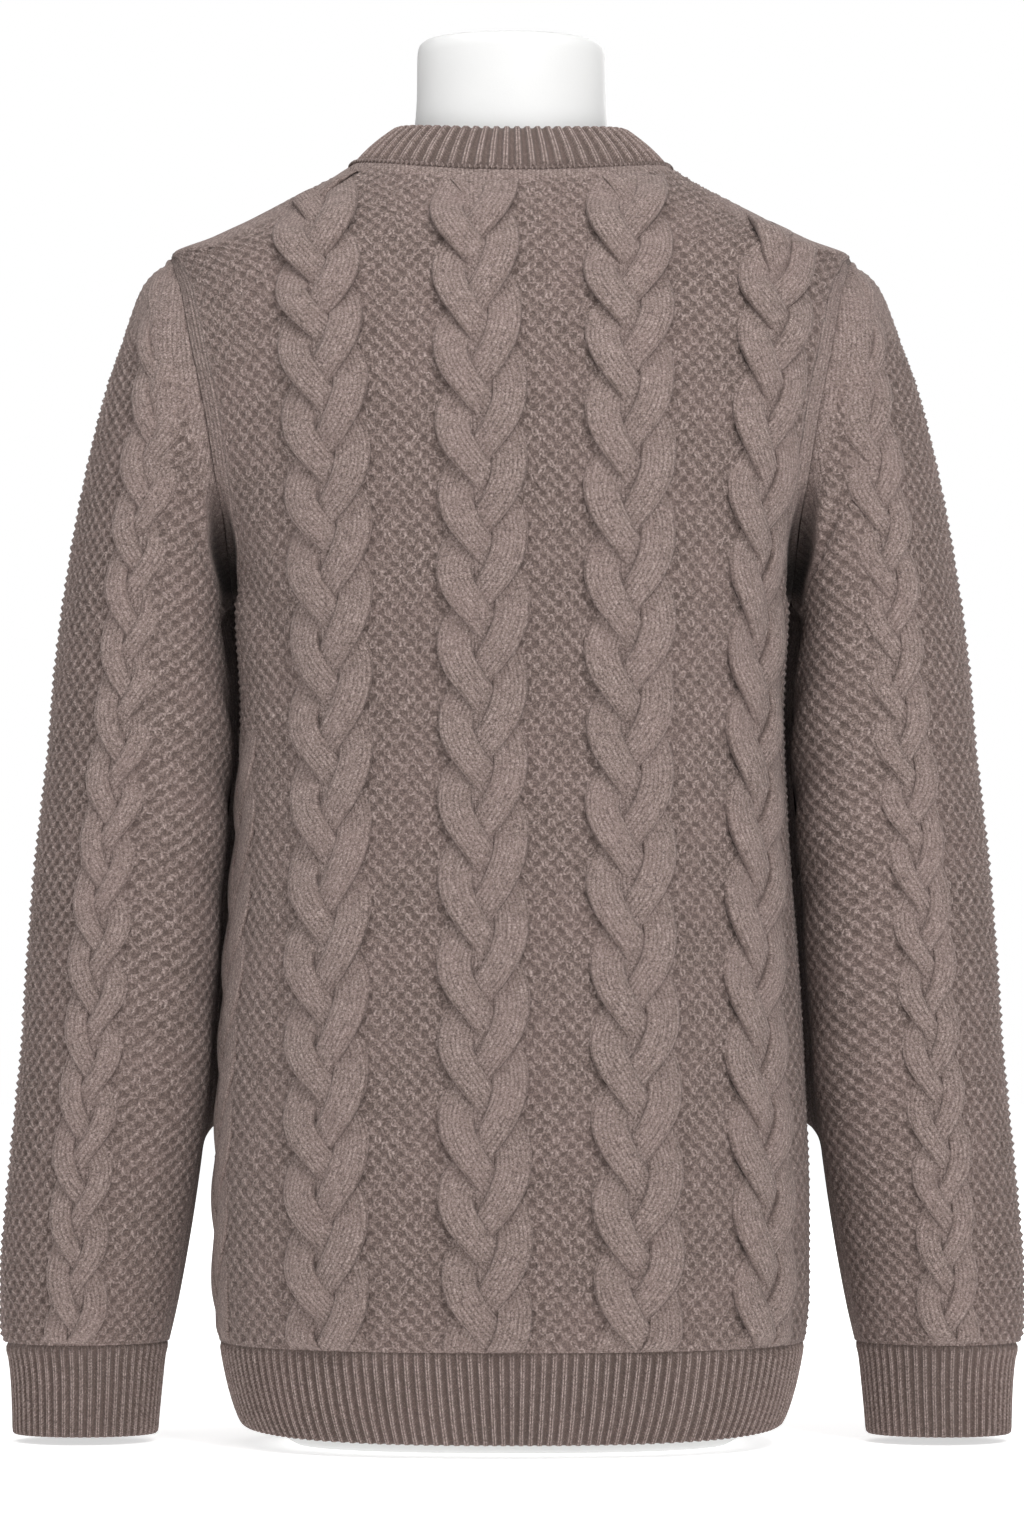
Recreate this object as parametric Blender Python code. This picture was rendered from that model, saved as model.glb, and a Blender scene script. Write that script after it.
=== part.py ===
"""Cable knit crew-neck sweater, worn by a limbless dress form that stands on its flat base.

Metres, +Z up. The sweater faces -Y and its back faces +Y. The origin is the middle of the form's base.
Every knitted piece is a closed wall of cloth. The body of the garment is one smooth surface, made from
horizontal half-sections, and the front and the back panel are its two halves. Each sleeve is a tube of
rings that fan out of the flat, oval armhole and then hang beside the body. The neckband rises from the
neckline, and the ribs of hem and cuffs carry on from the edges above them. Neighbouring pieces meet
along a seam with a gap of 0.3 mm.
"""

import math

import bmesh
import bpy
import numpy as np

# ---------------------------------------------------------------- driving dimensions

CLOTH = 0.0025  # thickness of the knitted wall
RIB_CLOTH = 0.0028  # ribbing is a little thicker
SEAM_GAP = 0.0003
NECKBAND_GAP = 0.0008  # the neckband starts this far from the neckline, along its own lean

HEM_Z = 0.006  # lower edge of the hem rib
HEM_SEAM_Z = 0.055  # where the hem rib ends and the panels start
UNDERARM_Z = 0.450
SHOULDER_Z = 0.638  # shoulder tip, at the top of the armhole
NECK_POINT_Z = 0.690  # where the neckline crosses the shoulder seam

UNDERARM_X = 0.153
SHOULDER_X = 0.184
NECK_HALF_WIDTH = 0.083
ARMHOLE_HALF_DEPTH = 0.056  # front to back

BACK_NECK_DROP = 0.014
FRONT_NECK_DROP = 0.084
NECKBAND_WIDTH = 0.030
NECKBAND_LEAN_SIDE = math.radians(39.6)  # above the horizontal, at the shoulders
NECKBAND_LEAN_MIDDLE = math.radians(54.0)  # at the centre back and centre front
NECK_AXIS_Y = -0.010

# The body, from hem to neck: height, half width at the side seam, depth behind and in front of the
# side seam, and the superellipse exponent of the section. Above the underarm the width comes from
# the armhole and the shoulder slope.
BODY_COLUMNS = ("height", "half_width", "back", "front", "roundness")
BODY = (
    (0.006, 0.1425, 0.105, 0.107, 2.40),
    (0.020, 0.1485, 0.111, 0.112, 2.40),
    (0.036, 0.1530, 0.115, 0.116, 2.40),
    (0.055, 0.1565, 0.118, 0.119, 2.40),
    (0.085, 0.1600, 0.1205, 0.1205, 2.40),
    (0.130, 0.1605, 0.1195, 0.1195, 2.40),
    (0.180, 0.1590, 0.115, 0.116, 2.40),
    (0.260, 0.1555, 0.107, 0.109, 2.40),
    (0.330, 0.1515, 0.101, 0.105, 2.42),
    (0.390, 0.1500, 0.100, 0.105, 2.50),
    (0.450, 0.1530, 0.105, 0.111, 2.74),
    (0.500, 0.1530, 0.109, 0.116, 2.52),
    (0.540, 0.1530, 0.1105, 0.1165, 2.42),
    (0.580, 0.1530, 0.107, 0.110, 2.40),
    (0.610, 0.1530, 0.100, 0.099, 2.40),
    (0.638, 0.1530, 0.090, 0.084, 2.40),
    (0.650, 0.1530, 0.084, 0.077, 2.40),
    (0.661, 0.1530, 0.077, 0.070, 2.40),
    (0.672, 0.1530, 0.069, 0.062, 2.40),
    (0.680, 0.1530, 0.062, 0.055, 2.40),
    (0.690, 0.1530, 0.052, 0.045, 2.40),
)

# The shoulder seam, seen from behind: height and distance from the centre line.
SHOULDER_COLUMNS = ("height", "half_width")
SHOULDER_LINE = (
    (0.638, 0.1840),
    (0.644, 0.1720),
    (0.650, 0.1590),
    (0.656, 0.1460),
    (0.6625, 0.1335),
    (0.669, 0.1210),
    (0.6755, 0.1075),
    (0.682, 0.0955),
    (0.690, 0.0830),
)

# The sleeve: one row for each ring, by the points nearest to and furthest from the body, its half
# depth and how far forward its middle hangs. The first ring is the armhole.
SLEEVE_COLUMNS = ("inner_x", "inner_z", "outer_x", "outer_z", "half_depth", "forward")
SLEEVE = (
    (UNDERARM_X, UNDERARM_Z, SHOULDER_X, SHOULDER_Z, ARMHOLE_HALF_DEPTH, 0.000),
    (0.1546, 0.4484, 0.1955, 0.6275, 0.0570, 0.000),
    (0.1560, 0.4464, 0.2055, 0.6065, 0.0580, 0.000),
    (0.1572, 0.4438, 0.2145, 0.5810, 0.0588, 0.001),
    (0.1580, 0.4405, 0.2225, 0.5525, 0.0595, 0.001),
    (0.1583, 0.4365, 0.2295, 0.5235, 0.0600, 0.002),
    (0.1582, 0.4310, 0.2355, 0.4940, 0.0600, 0.003),
    (0.1575, 0.4230, 0.2402, 0.4670, 0.0600, 0.004),
    (0.1560, 0.4090, 0.2442, 0.4400, 0.0598, 0.005),
    (0.1550, 0.3880, 0.2475, 0.4110, 0.0595, 0.006),
    (0.1548, 0.3620, 0.2503, 0.3770, 0.0590, 0.007),
    (0.1556, 0.3330, 0.2538, 0.3420, 0.0586, 0.008),
    (0.1575, 0.3000, 0.2580, 0.3030, 0.0580, 0.008),
    (0.1600, 0.2580, 0.2615, 0.2570, 0.0572, 0.009),
    (0.1625, 0.2150, 0.2643, 0.2120, 0.0562, 0.009),
    (0.1660, 0.1700, 0.2690, 0.1650, 0.0548, 0.010),
    (0.1710, 0.1300, 0.2728, 0.1240, 0.0530, 0.010),
    (0.1765, 0.0960, 0.2754, 0.0920, 0.0506, 0.011),
    (0.1815, 0.0700, 0.2755, 0.0670, 0.0478, 0.011),
    (0.1855, 0.0530, 0.2735, 0.0510, 0.0440, 0.012),
)
CUFF = (
    (0.1855, 0.0530, 0.2735, 0.0510, 0.0440, 0.012),
    (0.1875, 0.0460, 0.2715, 0.0445, 0.0410, 0.012),
    (0.1890, 0.0320, 0.2700, 0.0310, 0.0380, 0.012),
    (0.1908, 0.0130, 0.2692, 0.0125, 0.0355, 0.012),
    (0.1915, 0.0035, 0.2690, 0.0035, 0.0345, 0.012),
)

# The dress form: height, half width, depth behind and in front, how far forward the section's middle
# stands, and the roundness of each section.
FORM = (
    (0.000, 0.116, 0.074, 0.080, 0.0000, 2.40),
    (0.003, 0.121, 0.079, 0.085, 0.0000, 2.40),
    (0.010, 0.127, 0.086, 0.092, 0.0000, 2.40),
    (0.028, 0.137, 0.096, 0.101, 0.0000, 2.40),
    (0.055, 0.146, 0.104, 0.110, 0.0000, 2.40),
    (0.110, 0.150, 0.107, 0.113, 0.0000, 2.40),
    (0.180, 0.147, 0.102, 0.109, 0.0000, 2.40),
    (0.260, 0.142, 0.093, 0.101, 0.0000, 2.40),
    (0.330, 0.137, 0.087, 0.097, 0.0000, 2.40),
    (0.390, 0.137, 0.087, 0.098, 0.0000, 2.40),
    (0.450, 0.141, 0.093, 0.104, 0.0000, 2.40),
    (0.500, 0.147, 0.099, 0.109, 0.0000, 2.40),
    (0.540, 0.153, 0.101, 0.108, 0.0000, 2.40),
    (0.580, 0.160, 0.098, 0.100, 0.0004, 2.40),
    (0.605, 0.165, 0.092, 0.088, 0.0009, 2.40),
    (0.624, 0.168, 0.086, 0.077, 0.0014, 2.40),
    (0.6350, 0.1685, 0.0830, 0.0725, 0.0018, 2.40),
    (0.6410, 0.1657, 0.0800, 0.0675, 0.0022, 2.40),
    (0.6476, 0.1567, 0.0765, 0.0630, 0.0026, 2.40),
    (0.6536, 0.1438, 0.0725, 0.0590, 0.0030, 2.40),
    (0.6601, 0.1310, 0.0675, 0.0550, 0.0036, 2.40),
    (0.6666, 0.1175, 0.0620, 0.0505, 0.0042, 2.36),
    (0.6731, 0.1025, 0.0565, 0.0468, 0.0048, 2.30),
    (0.6796, 0.0875, 0.0510, 0.0450, 0.0053, 2.24),
    (0.6860, 0.0735, 0.0470, 0.0455, 0.0057, 2.16),
    (0.6925, 0.0622, 0.0445, 0.0468, 0.0060, 2.10),
    (0.7000, 0.0562, 0.0425, 0.0490, 0.0060, 2.06),
    (0.7120, 0.0530, 0.0415, 0.0500, 0.0060, 2.04),
    (0.7300, 0.0518, 0.0412, 0.0505, 0.0060, 2.04),
    (0.7500, 0.0516, 0.0412, 0.0505, 0.0060, 2.04),
    (0.7555, 0.0506, 0.0402, 0.0495, 0.0060, 2.04),
    (0.7580, 0.0480, 0.0376, 0.0469, 0.0060, 2.04),
)

# ---------------------------------------------------------------- fineness of the facets

NECK_STEPS = {"back": 5, "front": 8}  # columns from the centre line to the neck point
SHOULDER_STEPS = 6  # and from there to the armhole
LOWER_ROW_HEIGHTS = (0.05515, 0.085, 0.130, 0.180, 0.235, 0.290, 0.345, 0.395, 0.430, 0.4475)
UPPER_ROWS = 10
CLOSER_AT_THE_TOP = 0.8
CLOSER_AT_THE_SHOULDER = 1.45
RIB_STEPS = 10
NECKBAND_LEVELS = (0.0, 0.15, 0.4, 0.7, 1.0)
TUBE_POINTS = 20
FORM_POINTS = 40
ARC_SAMPLES = 65
COLUMN_SAMPLES = 161
HEIGHT_SAMPLES = 900

KNIT_COLOUR = (0.235, 0.185, 0.168, 1.0)
RIB_COLOUR = (0.205, 0.160, 0.146, 1.0)
FORM_COLOUR = (0.88, 0.88, 0.87, 1.0)


# ---------------------------------------------------------------- curves through tables


def smooth_curve(stations, values):
    """A monotone cubic through a table's rows: smooth, and with no overshoot between them."""
    xs, ys = np.array(stations, float), np.array(values, float)
    steps = np.diff(xs)
    slopes = np.diff(ys) / steps
    tangents = np.empty(len(xs))
    tangents[0], tangents[-1] = slopes[0], slopes[-1]
    before, after = slopes[:-1], slopes[1:]
    weight_before = 2 * steps[1:] + steps[:-1]
    weight_after = steps[1:] + 2 * steps[:-1]
    same_way = before * after > 0
    safe_before = np.where(same_way, before, 1.0)
    safe_after = np.where(same_way, after, 1.0)
    mean = (weight_before + weight_after) / (weight_before / safe_before + weight_after / safe_after)
    tangents[1:-1] = np.where(same_way, mean, 0.0)

    def at(x):
        x = np.clip(x, xs[0], xs[-1])
        k = np.clip(np.searchsorted(xs, x) - 1, 0, len(steps) - 1)
        t = (x - xs[k]) / steps[k]
        start = (1 + 2 * t) * (1 - t) ** 2 * ys[k] + t * (1 - t) ** 2 * steps[k] * tangents[k]
        end = t * t * (3 - 2 * t) * ys[k + 1] + t * t * (t - 1) * steps[k] * tangents[k + 1]
        return start + end

    return at


def column_curves(rows, names, stations):
    """A dict with one smooth curve for each named column of a table."""
    return {name: smooth_curve(stations, [row[i] for row in rows]) for i, name in enumerate(names)}


body = column_curves(BODY, BODY_COLUMNS, [row[0] for row in BODY])
shoulder = column_curves(SHOULDER_LINE, SHOULDER_COLUMNS, [row[0] for row in SHOULDER_LINE])


# ---------------------------------------------------------------- the surface of the garment's body


def facing(side):
    """The sign of y on one side of the side seams."""
    return 1.0 if side == "back" else -1.0


def edge_of_half_section(height):
    """Where a panel's horizontal section ends: side seam, armhole or shoulder seam, as (x, y)."""
    up = np.clip((height - UNDERARM_Z) / (SHOULDER_Z - UNDERARM_Z), 0.0, 1.0)
    on_armhole = UNDERARM_X + up * (SHOULDER_X - UNDERARM_X)
    x = np.where(height < UNDERARM_Z, body["half_width"](height), on_armhole)
    x = np.where(height > SHOULDER_Z, shoulder["half_width"](height), x)
    y = ARMHOLE_HALF_DEPTH * np.sqrt(np.maximum(0.0, 1 - (2 * up - 1) ** 2))
    return x, y


def section(height, side):
    """Half width, depth and exponent of the whole superellipse that a half-section is a part of."""
    depth, power = body[side](height), body["roundness"](height)
    edge_x, edge_y = edge_of_half_section(height)
    reach = edge_x / (1 - (edge_y / depth) ** power) ** (1 / power)
    return reach, depth, power


def section_arc(height, side):
    """Points along half-sections from the centre line to the edge, and the arc length up to each."""
    reach, depth, power = section(height, side)
    edge_x, _ = edge_of_half_section(height)
    end = np.arcsin(np.clip((edge_x / reach) ** (power / 2), 0.0, 1.0))
    angle = end[:, None] * np.linspace(0.0, 1.0, ARC_SAMPLES)
    x = reach[:, None] * np.sin(angle) ** (2 / power[:, None])
    y = depth[:, None] * np.abs(np.cos(angle)) ** (2 / power[:, None])
    length = np.concatenate(
        [np.zeros((len(x), 1)), np.cumsum(np.hypot(np.diff(x), np.diff(y)), axis=1)], axis=1
    )
    return x, y, length


def on_section(share, height, side):
    """Points of one wale at some heights. It keeps its share of the girth up to the shoulder tip,
    and above the tip its distance from the centre line, measured over the cloth."""
    x, y, length = section_arc(height, side)
    _, _, tip_length = section_arc(np.array([SHOULDER_Z]), side)
    wanted = np.where(height <= SHOULDER_Z, length[:, -1], tip_length[0, -1]) * abs(share)
    px = np.array([np.interp(w, l, row) for w, l, row in zip(wanted, length, x)])
    py = np.array([np.interp(w, l, row) for w, l, row in zip(wanted, length, y)])
    over_the_edge = wanted > length[:, -1]
    return px, py, over_the_edge


def neckline(angles, side):
    """Points of the neckline as (x, height). The angle is 0 on the centre line, 90 degrees at a
    neck point."""
    x = NECK_HALF_WIDTH * np.sin(angles)
    if side == "back":
        return x, NECK_POINT_Z - BACK_NECK_DROP * np.cos(angles) ** 2
    return x, NECK_POINT_Z - FRONT_NECK_DROP * np.cos(angles)


def on_neckline(angles, side):
    """Points of the neckline in space, on the +X side."""
    x, height = neckline(angles, side)
    reach, depth, power = section(height, side)
    y = depth * np.maximum(0.0, 1 - (x / reach) ** power) ** (1 / power)
    return np.stack([x, y * facing(side), height], axis=1)


def neckline_angles(side):
    """Angles that space the neckline's points over its length, closer towards the neck point."""
    closeness = np.linspace(0.0, 1.0, HEIGHT_SAMPLES)
    angles = math.pi / 2 * (1 - (1 - closeness) ** 3)
    steps = np.linalg.norm(np.diff(on_neckline(angles, side), axis=0), axis=1)
    length = np.concatenate([[0.0], np.cumsum(steps)])
    at = length[-1] * (1 - np.linspace(1.0, 0.0, NECK_STEPS[side] + 1) ** CLOSER_AT_THE_SHOULDER)
    return np.interp(at, length, angles)


def neckline_shares(side):
    """The panel's columns that end at the neckline, as shares of the girth, with their heights."""
    x, height = neckline(neckline_angles(side), side)
    section_x, _, length = section_arc(height, side)
    _, _, tip_length = section_arc(np.array([SHOULDER_Z]), side)
    girth = np.where(height <= SHOULDER_Z, length[:, -1], tip_length[0, -1])
    over_cloth = [np.interp(at, row, arc) for at, row, arc in zip(x, section_x, length)]
    return np.array(over_cloth) / girth, height


def shoulder_heights(shares, side):
    """Heights at which wales outside the neck point meet the shoulder seam."""
    height = np.linspace(SHOULDER_Z, NECK_POINT_Z, HEIGHT_SAMPLES)
    _, _, length = section_arc(height, side)
    return np.interp(-np.abs(shares) * length[0, -1], -length[:, -1], height)


def panel_columns(side):
    """Shares of the girth for the columns of half a panel, and the height of each one's top."""
    neck, neck_top = neckline_shares(side)
    rest = np.linspace(neck[-1], 1.0, SHOULDER_STEPS + 1)[1:]
    return np.concatenate([neck, rest]), np.concatenate([neck_top, shoulder_heights(rest, side)])


def wale(share, side, top):
    """Points of one wale: at set heights up to the underarm, then evenly spaced over the cloth."""
    low = np.array(LOWER_ROW_HEIGHTS)
    spread = np.linspace(0.0, 1.0, COLUMN_SAMPLES)
    high = UNDERARM_Z + (top - UNDERARM_Z) * (1 - (1 - spread) ** 2)
    points = []
    for height in (low, high):
        if share >= 1.0:
            px, py = edge_of_half_section(height)
        else:
            px, py, _ = on_section(share, height, side)
        points.append(np.stack([px, py, height], axis=1))
    steps = np.linalg.norm(np.diff(points[1], axis=0), axis=1)
    length = np.concatenate([[0.0], np.cumsum(steps)])
    at = length[-1] * np.linspace(0.0, 1.0, UPPER_ROWS + 1) ** CLOSER_AT_THE_TOP
    upper = np.stack([np.interp(at, length, axis) for axis in points[1].T], axis=1)
    return np.concatenate([points[0], upper])


def body_normal(points, side):
    """Outward unit normals of the garment's body, from the gradient of its section formula."""
    x, y, z = np.abs(points[..., 0]), np.abs(points[..., 1]), points[..., 2]

    def level(height):
        reach, depth, power = section(height, side)
        return (x / reach) ** power + (y / depth) ** power

    step = 0.0004
    reach, depth, power = section(z, side)
    gx = power * x ** (power - 1) / reach**power * np.sign(points[..., 0])
    gy = power * y ** (power - 1) / depth**power * np.sign(points[..., 1])
    gz = (level(z + step) - level(z - step)) / (2 * step)
    gradient = np.stack([gx, gy, gz], axis=-1)
    return gradient / np.linalg.norm(gradient, axis=-1, keepdims=True)


def armhole_normal(points):
    """Outward unit normals of the armhole oval, lying in its own plane, for points on its edge."""
    middle = np.array([(UNDERARM_X + SHOULDER_X) / 2, 0.0, (UNDERARM_Z + SHOULDER_Z) / 2])
    chord = np.array([SHOULDER_X - UNDERARM_X, 0.0, SHOULDER_Z - UNDERARM_Z])
    half = np.linalg.norm(chord) / 2
    up = chord / np.linalg.norm(chord)
    sign = np.sign(points[..., 0])
    away = points * np.stack([sign, np.ones_like(sign), np.ones_like(sign)], axis=-1) - middle
    along = away @ up / half**2
    across = away[..., 1] / ARMHOLE_HALF_DEPTH**2
    normal = along[..., None] * up + across[..., None] * np.array([0.0, 1.0, 0.0])
    normal = normal / np.linalg.norm(normal, axis=-1, keepdims=True)
    normal[..., 0] *= sign
    return normal


# ---------------------------------------------------------------- meshes and objects


def new_material(name, colour, roughness):
    material = bpy.data.materials.new(name)
    material.use_nodes = True
    shader = material.node_tree.nodes["Principled BSDF"]
    shader.inputs["Base Color"].default_value = colour
    shader.inputs["Roughness"].default_value = roughness
    shader.inputs["Metallic"].default_value = 0.0
    return material


def add_object(name, mesh_builder, material, origin, parent):
    """Finishes a bmesh as a smooth-shaded object whose own origin is at a point of the piece."""
    bmesh.ops.recalc_face_normals(mesh_builder, faces=mesh_builder.faces)
    bmesh.ops.translate(mesh_builder, verts=mesh_builder.verts, vec=[-c for c in origin])
    mesh = bpy.data.meshes.new(name)
    mesh_builder.to_mesh(mesh)
    mesh_builder.free()
    mesh.shade_smooth()
    mesh.set_sharp_from_angle(angle=math.radians(50))
    mesh.materials.append(material)
    obj = bpy.data.objects.new(name, mesh)
    bpy.context.scene.collection.objects.link(obj)
    obj.location = origin
    obj.parent = parent
    return obj


def add_wall(name, outer, inner, wraps, material, origin, parent):
    """A closed wall of cloth between two grids of points, rows by columns. A tube wraps round."""
    rows, columns = outer.shape[:2]
    builder = bmesh.new()
    skins = [
        [[builder.verts.new(point) for point in row] for row in grid] for grid in (outer, inner)
    ]
    spans = columns if wraps else columns - 1
    for row in range(rows - 1):
        for column in range(spans):
            after = (column + 1) % columns
            for skin in skins:
                builder.faces.new(
                    (skin[row][column], skin[row][after], skin[row + 1][after], skin[row + 1][column])
                )
    out, into = skins
    for row in (0, rows - 1):
        for column in range(spans):
            after = (column + 1) % columns
            builder.faces.new((out[row][column], out[row][after], into[row][after], into[row][column]))
    if not wraps:
        for column in (0, columns - 1):
            for row in range(rows - 1):
                builder.faces.new(
                    (out[row][column], out[row + 1][column], into[row + 1][column], into[row][column])
                )
    return add_object(name, builder, material, origin, parent)


# ---------------------------------------------------------------- body panels and hem ribs


def add_panel(side, material, parent):
    """The front or back panel, from the hem rib to the shoulder seams and the neckline."""
    shares, tops = panel_columns(side)
    half = [wale(share, side, top) for share, top in zip(shares, tops)]
    for points in half:
        points[:, 1] = np.maximum(points[:, 1], SEAM_GAP / 2) * facing(side)
    mirrored = [points * np.array([-1.0, 1.0, 1.0]) for points in half[:0:-1]]
    columns = mirrored + half
    outer = np.stack(columns, axis=1)
    normals = body_normal(outer, side)
    normals[0, :, 2] = 0.0
    for edge in (0, -1):
        on_armhole = outer[:, edge, 2] > UNDERARM_Z - 0.0001
        normals[on_armhole, edge] = armhole_normal(outer[on_armhole, edge])
        normals[~on_armhole, edge, 1] = 0.0
    normals /= np.linalg.norm(normals, axis=-1, keepdims=True)
    inner = outer - CLOTH * normals
    inner[..., 1] = np.maximum(inner[..., 1] * facing(side), SEAM_GAP / 2) * facing(side)
    middle = (0.0, facing(side) * float(body[side](UNDERARM_Z)), UNDERARM_Z)
    return add_wall(f"{side}_panel", outer, inner, False, material, middle, parent)


def add_hem_rib(side, material, parent):
    """The ribbed edge that is knitted on below one panel."""
    heights = np.array([HEM_Z, 0.014, 0.028, 0.042, HEM_SEAM_Z - SEAM_GAP / 2])
    shares = np.linspace(-1.0, 1.0, 2 * RIB_STEPS + 1)
    columns = []
    for share in shares:
        px, py, _ = on_section(share, heights, side)
        points = np.stack([px * np.sign(share), np.maximum(py, SEAM_GAP / 2) * facing(side), heights], 1)
        columns.append(points)
    outer = np.stack(columns, axis=1)
    normals = body_normal(outer, side)
    normals[..., 2] = 0.0
    normals[:, (0, -1), 1] = 0.0
    normals /= np.linalg.norm(normals, axis=-1, keepdims=True)
    inner = outer - RIB_CLOTH * normals
    inner[..., 1] = np.maximum(inner[..., 1] * facing(side), SEAM_GAP / 2) * facing(side)
    middle = (0.0, facing(side) * float(body[side](HEM_SEAM_Z)), HEM_SEAM_Z)
    return add_wall(f"{side}_hem_rib", outer, inner, False, material, middle, parent)


# ---------------------------------------------------------------- sleeves and cuffs


def ring(row, wearer_side, thickness_in):
    """One ring of a sleeve or cuff, moved in by a thickness, in the plane of its two end points."""
    inner_x, inner_z, outer_x, outer_z, half_depth, forward = row
    inside = np.array([inner_x, -forward, inner_z])
    outside = np.array([outer_x, -forward, outer_z])
    half_width = np.linalg.norm(outside - inside) / 2
    across = (outside - inside) / (2 * half_width)
    angle = 2 * math.pi * np.arange(TUBE_POINTS) / TUBE_POINTS
    c, s = np.cos(angle), np.sin(angle)
    normal = c[:, None] / half_width * across + s[:, None] / half_depth * np.array([0.0, 1.0, 0.0])
    normal /= np.linalg.norm(normal, axis=1, keepdims=True)
    points = (inside + outside) / 2 + half_width * c[:, None] * across
    points = points + half_depth * s[:, None] * np.array([0.0, 1.0, 0.0])
    points = points - thickness_in * normal
    points[:, 0] *= wearer_side
    return points


def tube_grids(rows, wearer_side, thickness):
    outer = np.stack([ring(row, wearer_side, 0.0) for row in rows])
    inner = np.stack([ring(row, wearer_side, thickness) for row in rows])
    return outer, inner


def add_sleeve(name, wearer_side, material, parent):
    """A sleeve from the armhole to the cuff. Its first ring stands just clear of the armhole."""
    outer, inner = tube_grids(SLEEVE, wearer_side, CLOTH)
    chord = np.array([SHOULDER_X - UNDERARM_X, 0.0, SHOULDER_Z - UNDERARM_Z])
    chord /= np.linalg.norm(chord)
    out_of_armhole = np.array([chord[2] * wearer_side, 0.0, -chord[0]])
    outer[0] += SEAM_GAP * out_of_armhole
    inner[0] += SEAM_GAP * out_of_armhole
    outer[-1, :, 2] += SEAM_GAP / 2
    inner[-1, :, 2] += SEAM_GAP / 2
    origin = (wearer_side * (UNDERARM_X + SHOULDER_X) / 2, 0.0, (UNDERARM_Z + SHOULDER_Z) / 2)
    return add_wall(name, outer, inner, True, material, origin, parent)


def add_cuff(name, wearer_side, material, parent):
    """The ribbed cuff that is knitted on below a sleeve."""
    outer, inner = tube_grids(CUFF, wearer_side, RIB_CLOTH)
    outer[0, :, 2] -= SEAM_GAP / 2
    inner[0, :, 2] -= SEAM_GAP / 2
    inner_x, inner_z, outer_x = CUFF[0][:3]
    origin = (wearer_side * (inner_x + outer_x) / 2, 0.0, inner_z)
    return add_wall(name, outer, inner, True, material, origin, parent)


# ---------------------------------------------------------------- neckband


def neckline_loop():
    """The neckline's points and normals all round, at the top of each column of the panels."""
    points, normals = [], []
    for side in ("back", "front"):
        quarter = on_neckline(neckline_angles(side), side)
        normal = body_normal(quarter, side)
        order = slice(None) if side == "back" else slice(-2, None, -1)
        points.append(quarter[order])
        normals.append(normal[order])
    half = np.concatenate(points)
    half_normals = np.concatenate(normals)
    mirror = np.array([-1.0, 1.0, 1.0])
    loop = np.concatenate([half, half[-2:0:-1] * mirror])
    return loop, np.concatenate([half_normals, half_normals[-2:0:-1] * mirror])


def add_neckband(material, parent):
    """The ribbed band. Each of its lines leans in from the neckline towards the neck."""
    base, seam_normal = neckline_loop()
    away = base[:, :2] - np.array([0.0, NECK_AXIS_Y])
    away /= np.linalg.norm(away, axis=1, keepdims=True)
    lean = NECKBAND_LEAN_SIDE + (NECKBAND_LEAN_MIDDLE - NECKBAND_LEAN_SIDE) * away[:, 1] ** 2
    level_part, upright_part = np.cos(lean)[:, None], np.sin(lean)[:, None]
    rise = np.concatenate([-away * level_part, upright_part], axis=1)
    band_normal = np.concatenate([away * upright_part, level_part], axis=1)
    outer, inner = [], []
    for level in NECKBAND_LEVELS:
        toward_band = 1 - (1 - level) ** 3
        normal = (1 - toward_band) * seam_normal + toward_band * band_normal
        normal /= np.linalg.norm(normal, axis=1, keepdims=True)
        outer.append(base + (NECKBAND_GAP + level * NECKBAND_WIDTH) * rise)
        inner.append(outer[-1] - RIB_CLOTH * normal)
    origin = (0.0, NECK_AXIS_Y, NECK_POINT_Z)
    return add_wall("neckband", np.stack(outer), np.stack(inner), True, material, origin, parent)


# ---------------------------------------------------------------- dress form


def add_dress_form(material):
    """A limbless torso with a neck: a stack of sections with a flat base and a flat neck cap."""
    builder = bmesh.new()
    rings = []
    for height, half_width, back, front, forward, roundness in FORM:
        vertices = []
        for k in range(FORM_POINTS):
            angle = 2 * math.pi * k / FORM_POINTS
            s, c = math.sin(angle), math.cos(angle)
            depth = back if c > 0 else front
            x = half_width * math.copysign(abs(s) ** (2 / roundness), s)
            y = depth * math.copysign(abs(c) ** (2 / roundness), c) - forward
            vertices.append(builder.verts.new((x, y, height)))
        rings.append(vertices)
    for lower, upper in zip(rings, rings[1:]):
        for k in range(FORM_POINTS):
            after = (k + 1) % FORM_POINTS
            builder.faces.new((lower[k], lower[after], upper[after], upper[k]))
    builder.faces.new(rings[0])
    builder.faces.new(rings[-1])
    return add_object("dress_form", builder, material, (0.0, 0.0, 0.0), None)


# ---------------------------------------------------------------- assembly


def clear_scene():
    for obj in list(bpy.data.objects):
        bpy.data.objects.remove(obj)


def main():
    clear_scene()
    knit = new_material("cable_knit_wool", KNIT_COLOUR, 0.92)
    rib = new_material("ribbed_wool", RIB_COLOUR, 0.92)
    shell = new_material("white_form_shell", FORM_COLOUR, 0.42)

    sweater = bpy.data.objects.new("sweater", None)
    bpy.context.scene.collection.objects.link(sweater)

    for side in ("back", "front"):
        add_panel(side, knit, sweater)
        add_hem_rib(side, rib, sweater)
    for name, wearer_side in (("left", 1.0), ("right", -1.0)):
        add_sleeve(f"{name}_sleeve", wearer_side, knit, sweater)
        add_cuff(f"{name}_cuff", wearer_side, rib, sweater)
    add_neckband(rib, sweater)
    add_dress_form(shell)


main()
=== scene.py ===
"""Looks of the cable knit sweater on its dress form: knitted surfaces, cables, ribs, seams, wool.

Metres, +Z up. The back of the garment faces +Y and is the side in view. The cloth's form repeats the
CAD model's sections; every stitch pattern is laid over it as geometry, and the finest stitches and the
fibres are in the materials.
"""

import math
from collections import namedtuple

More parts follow.
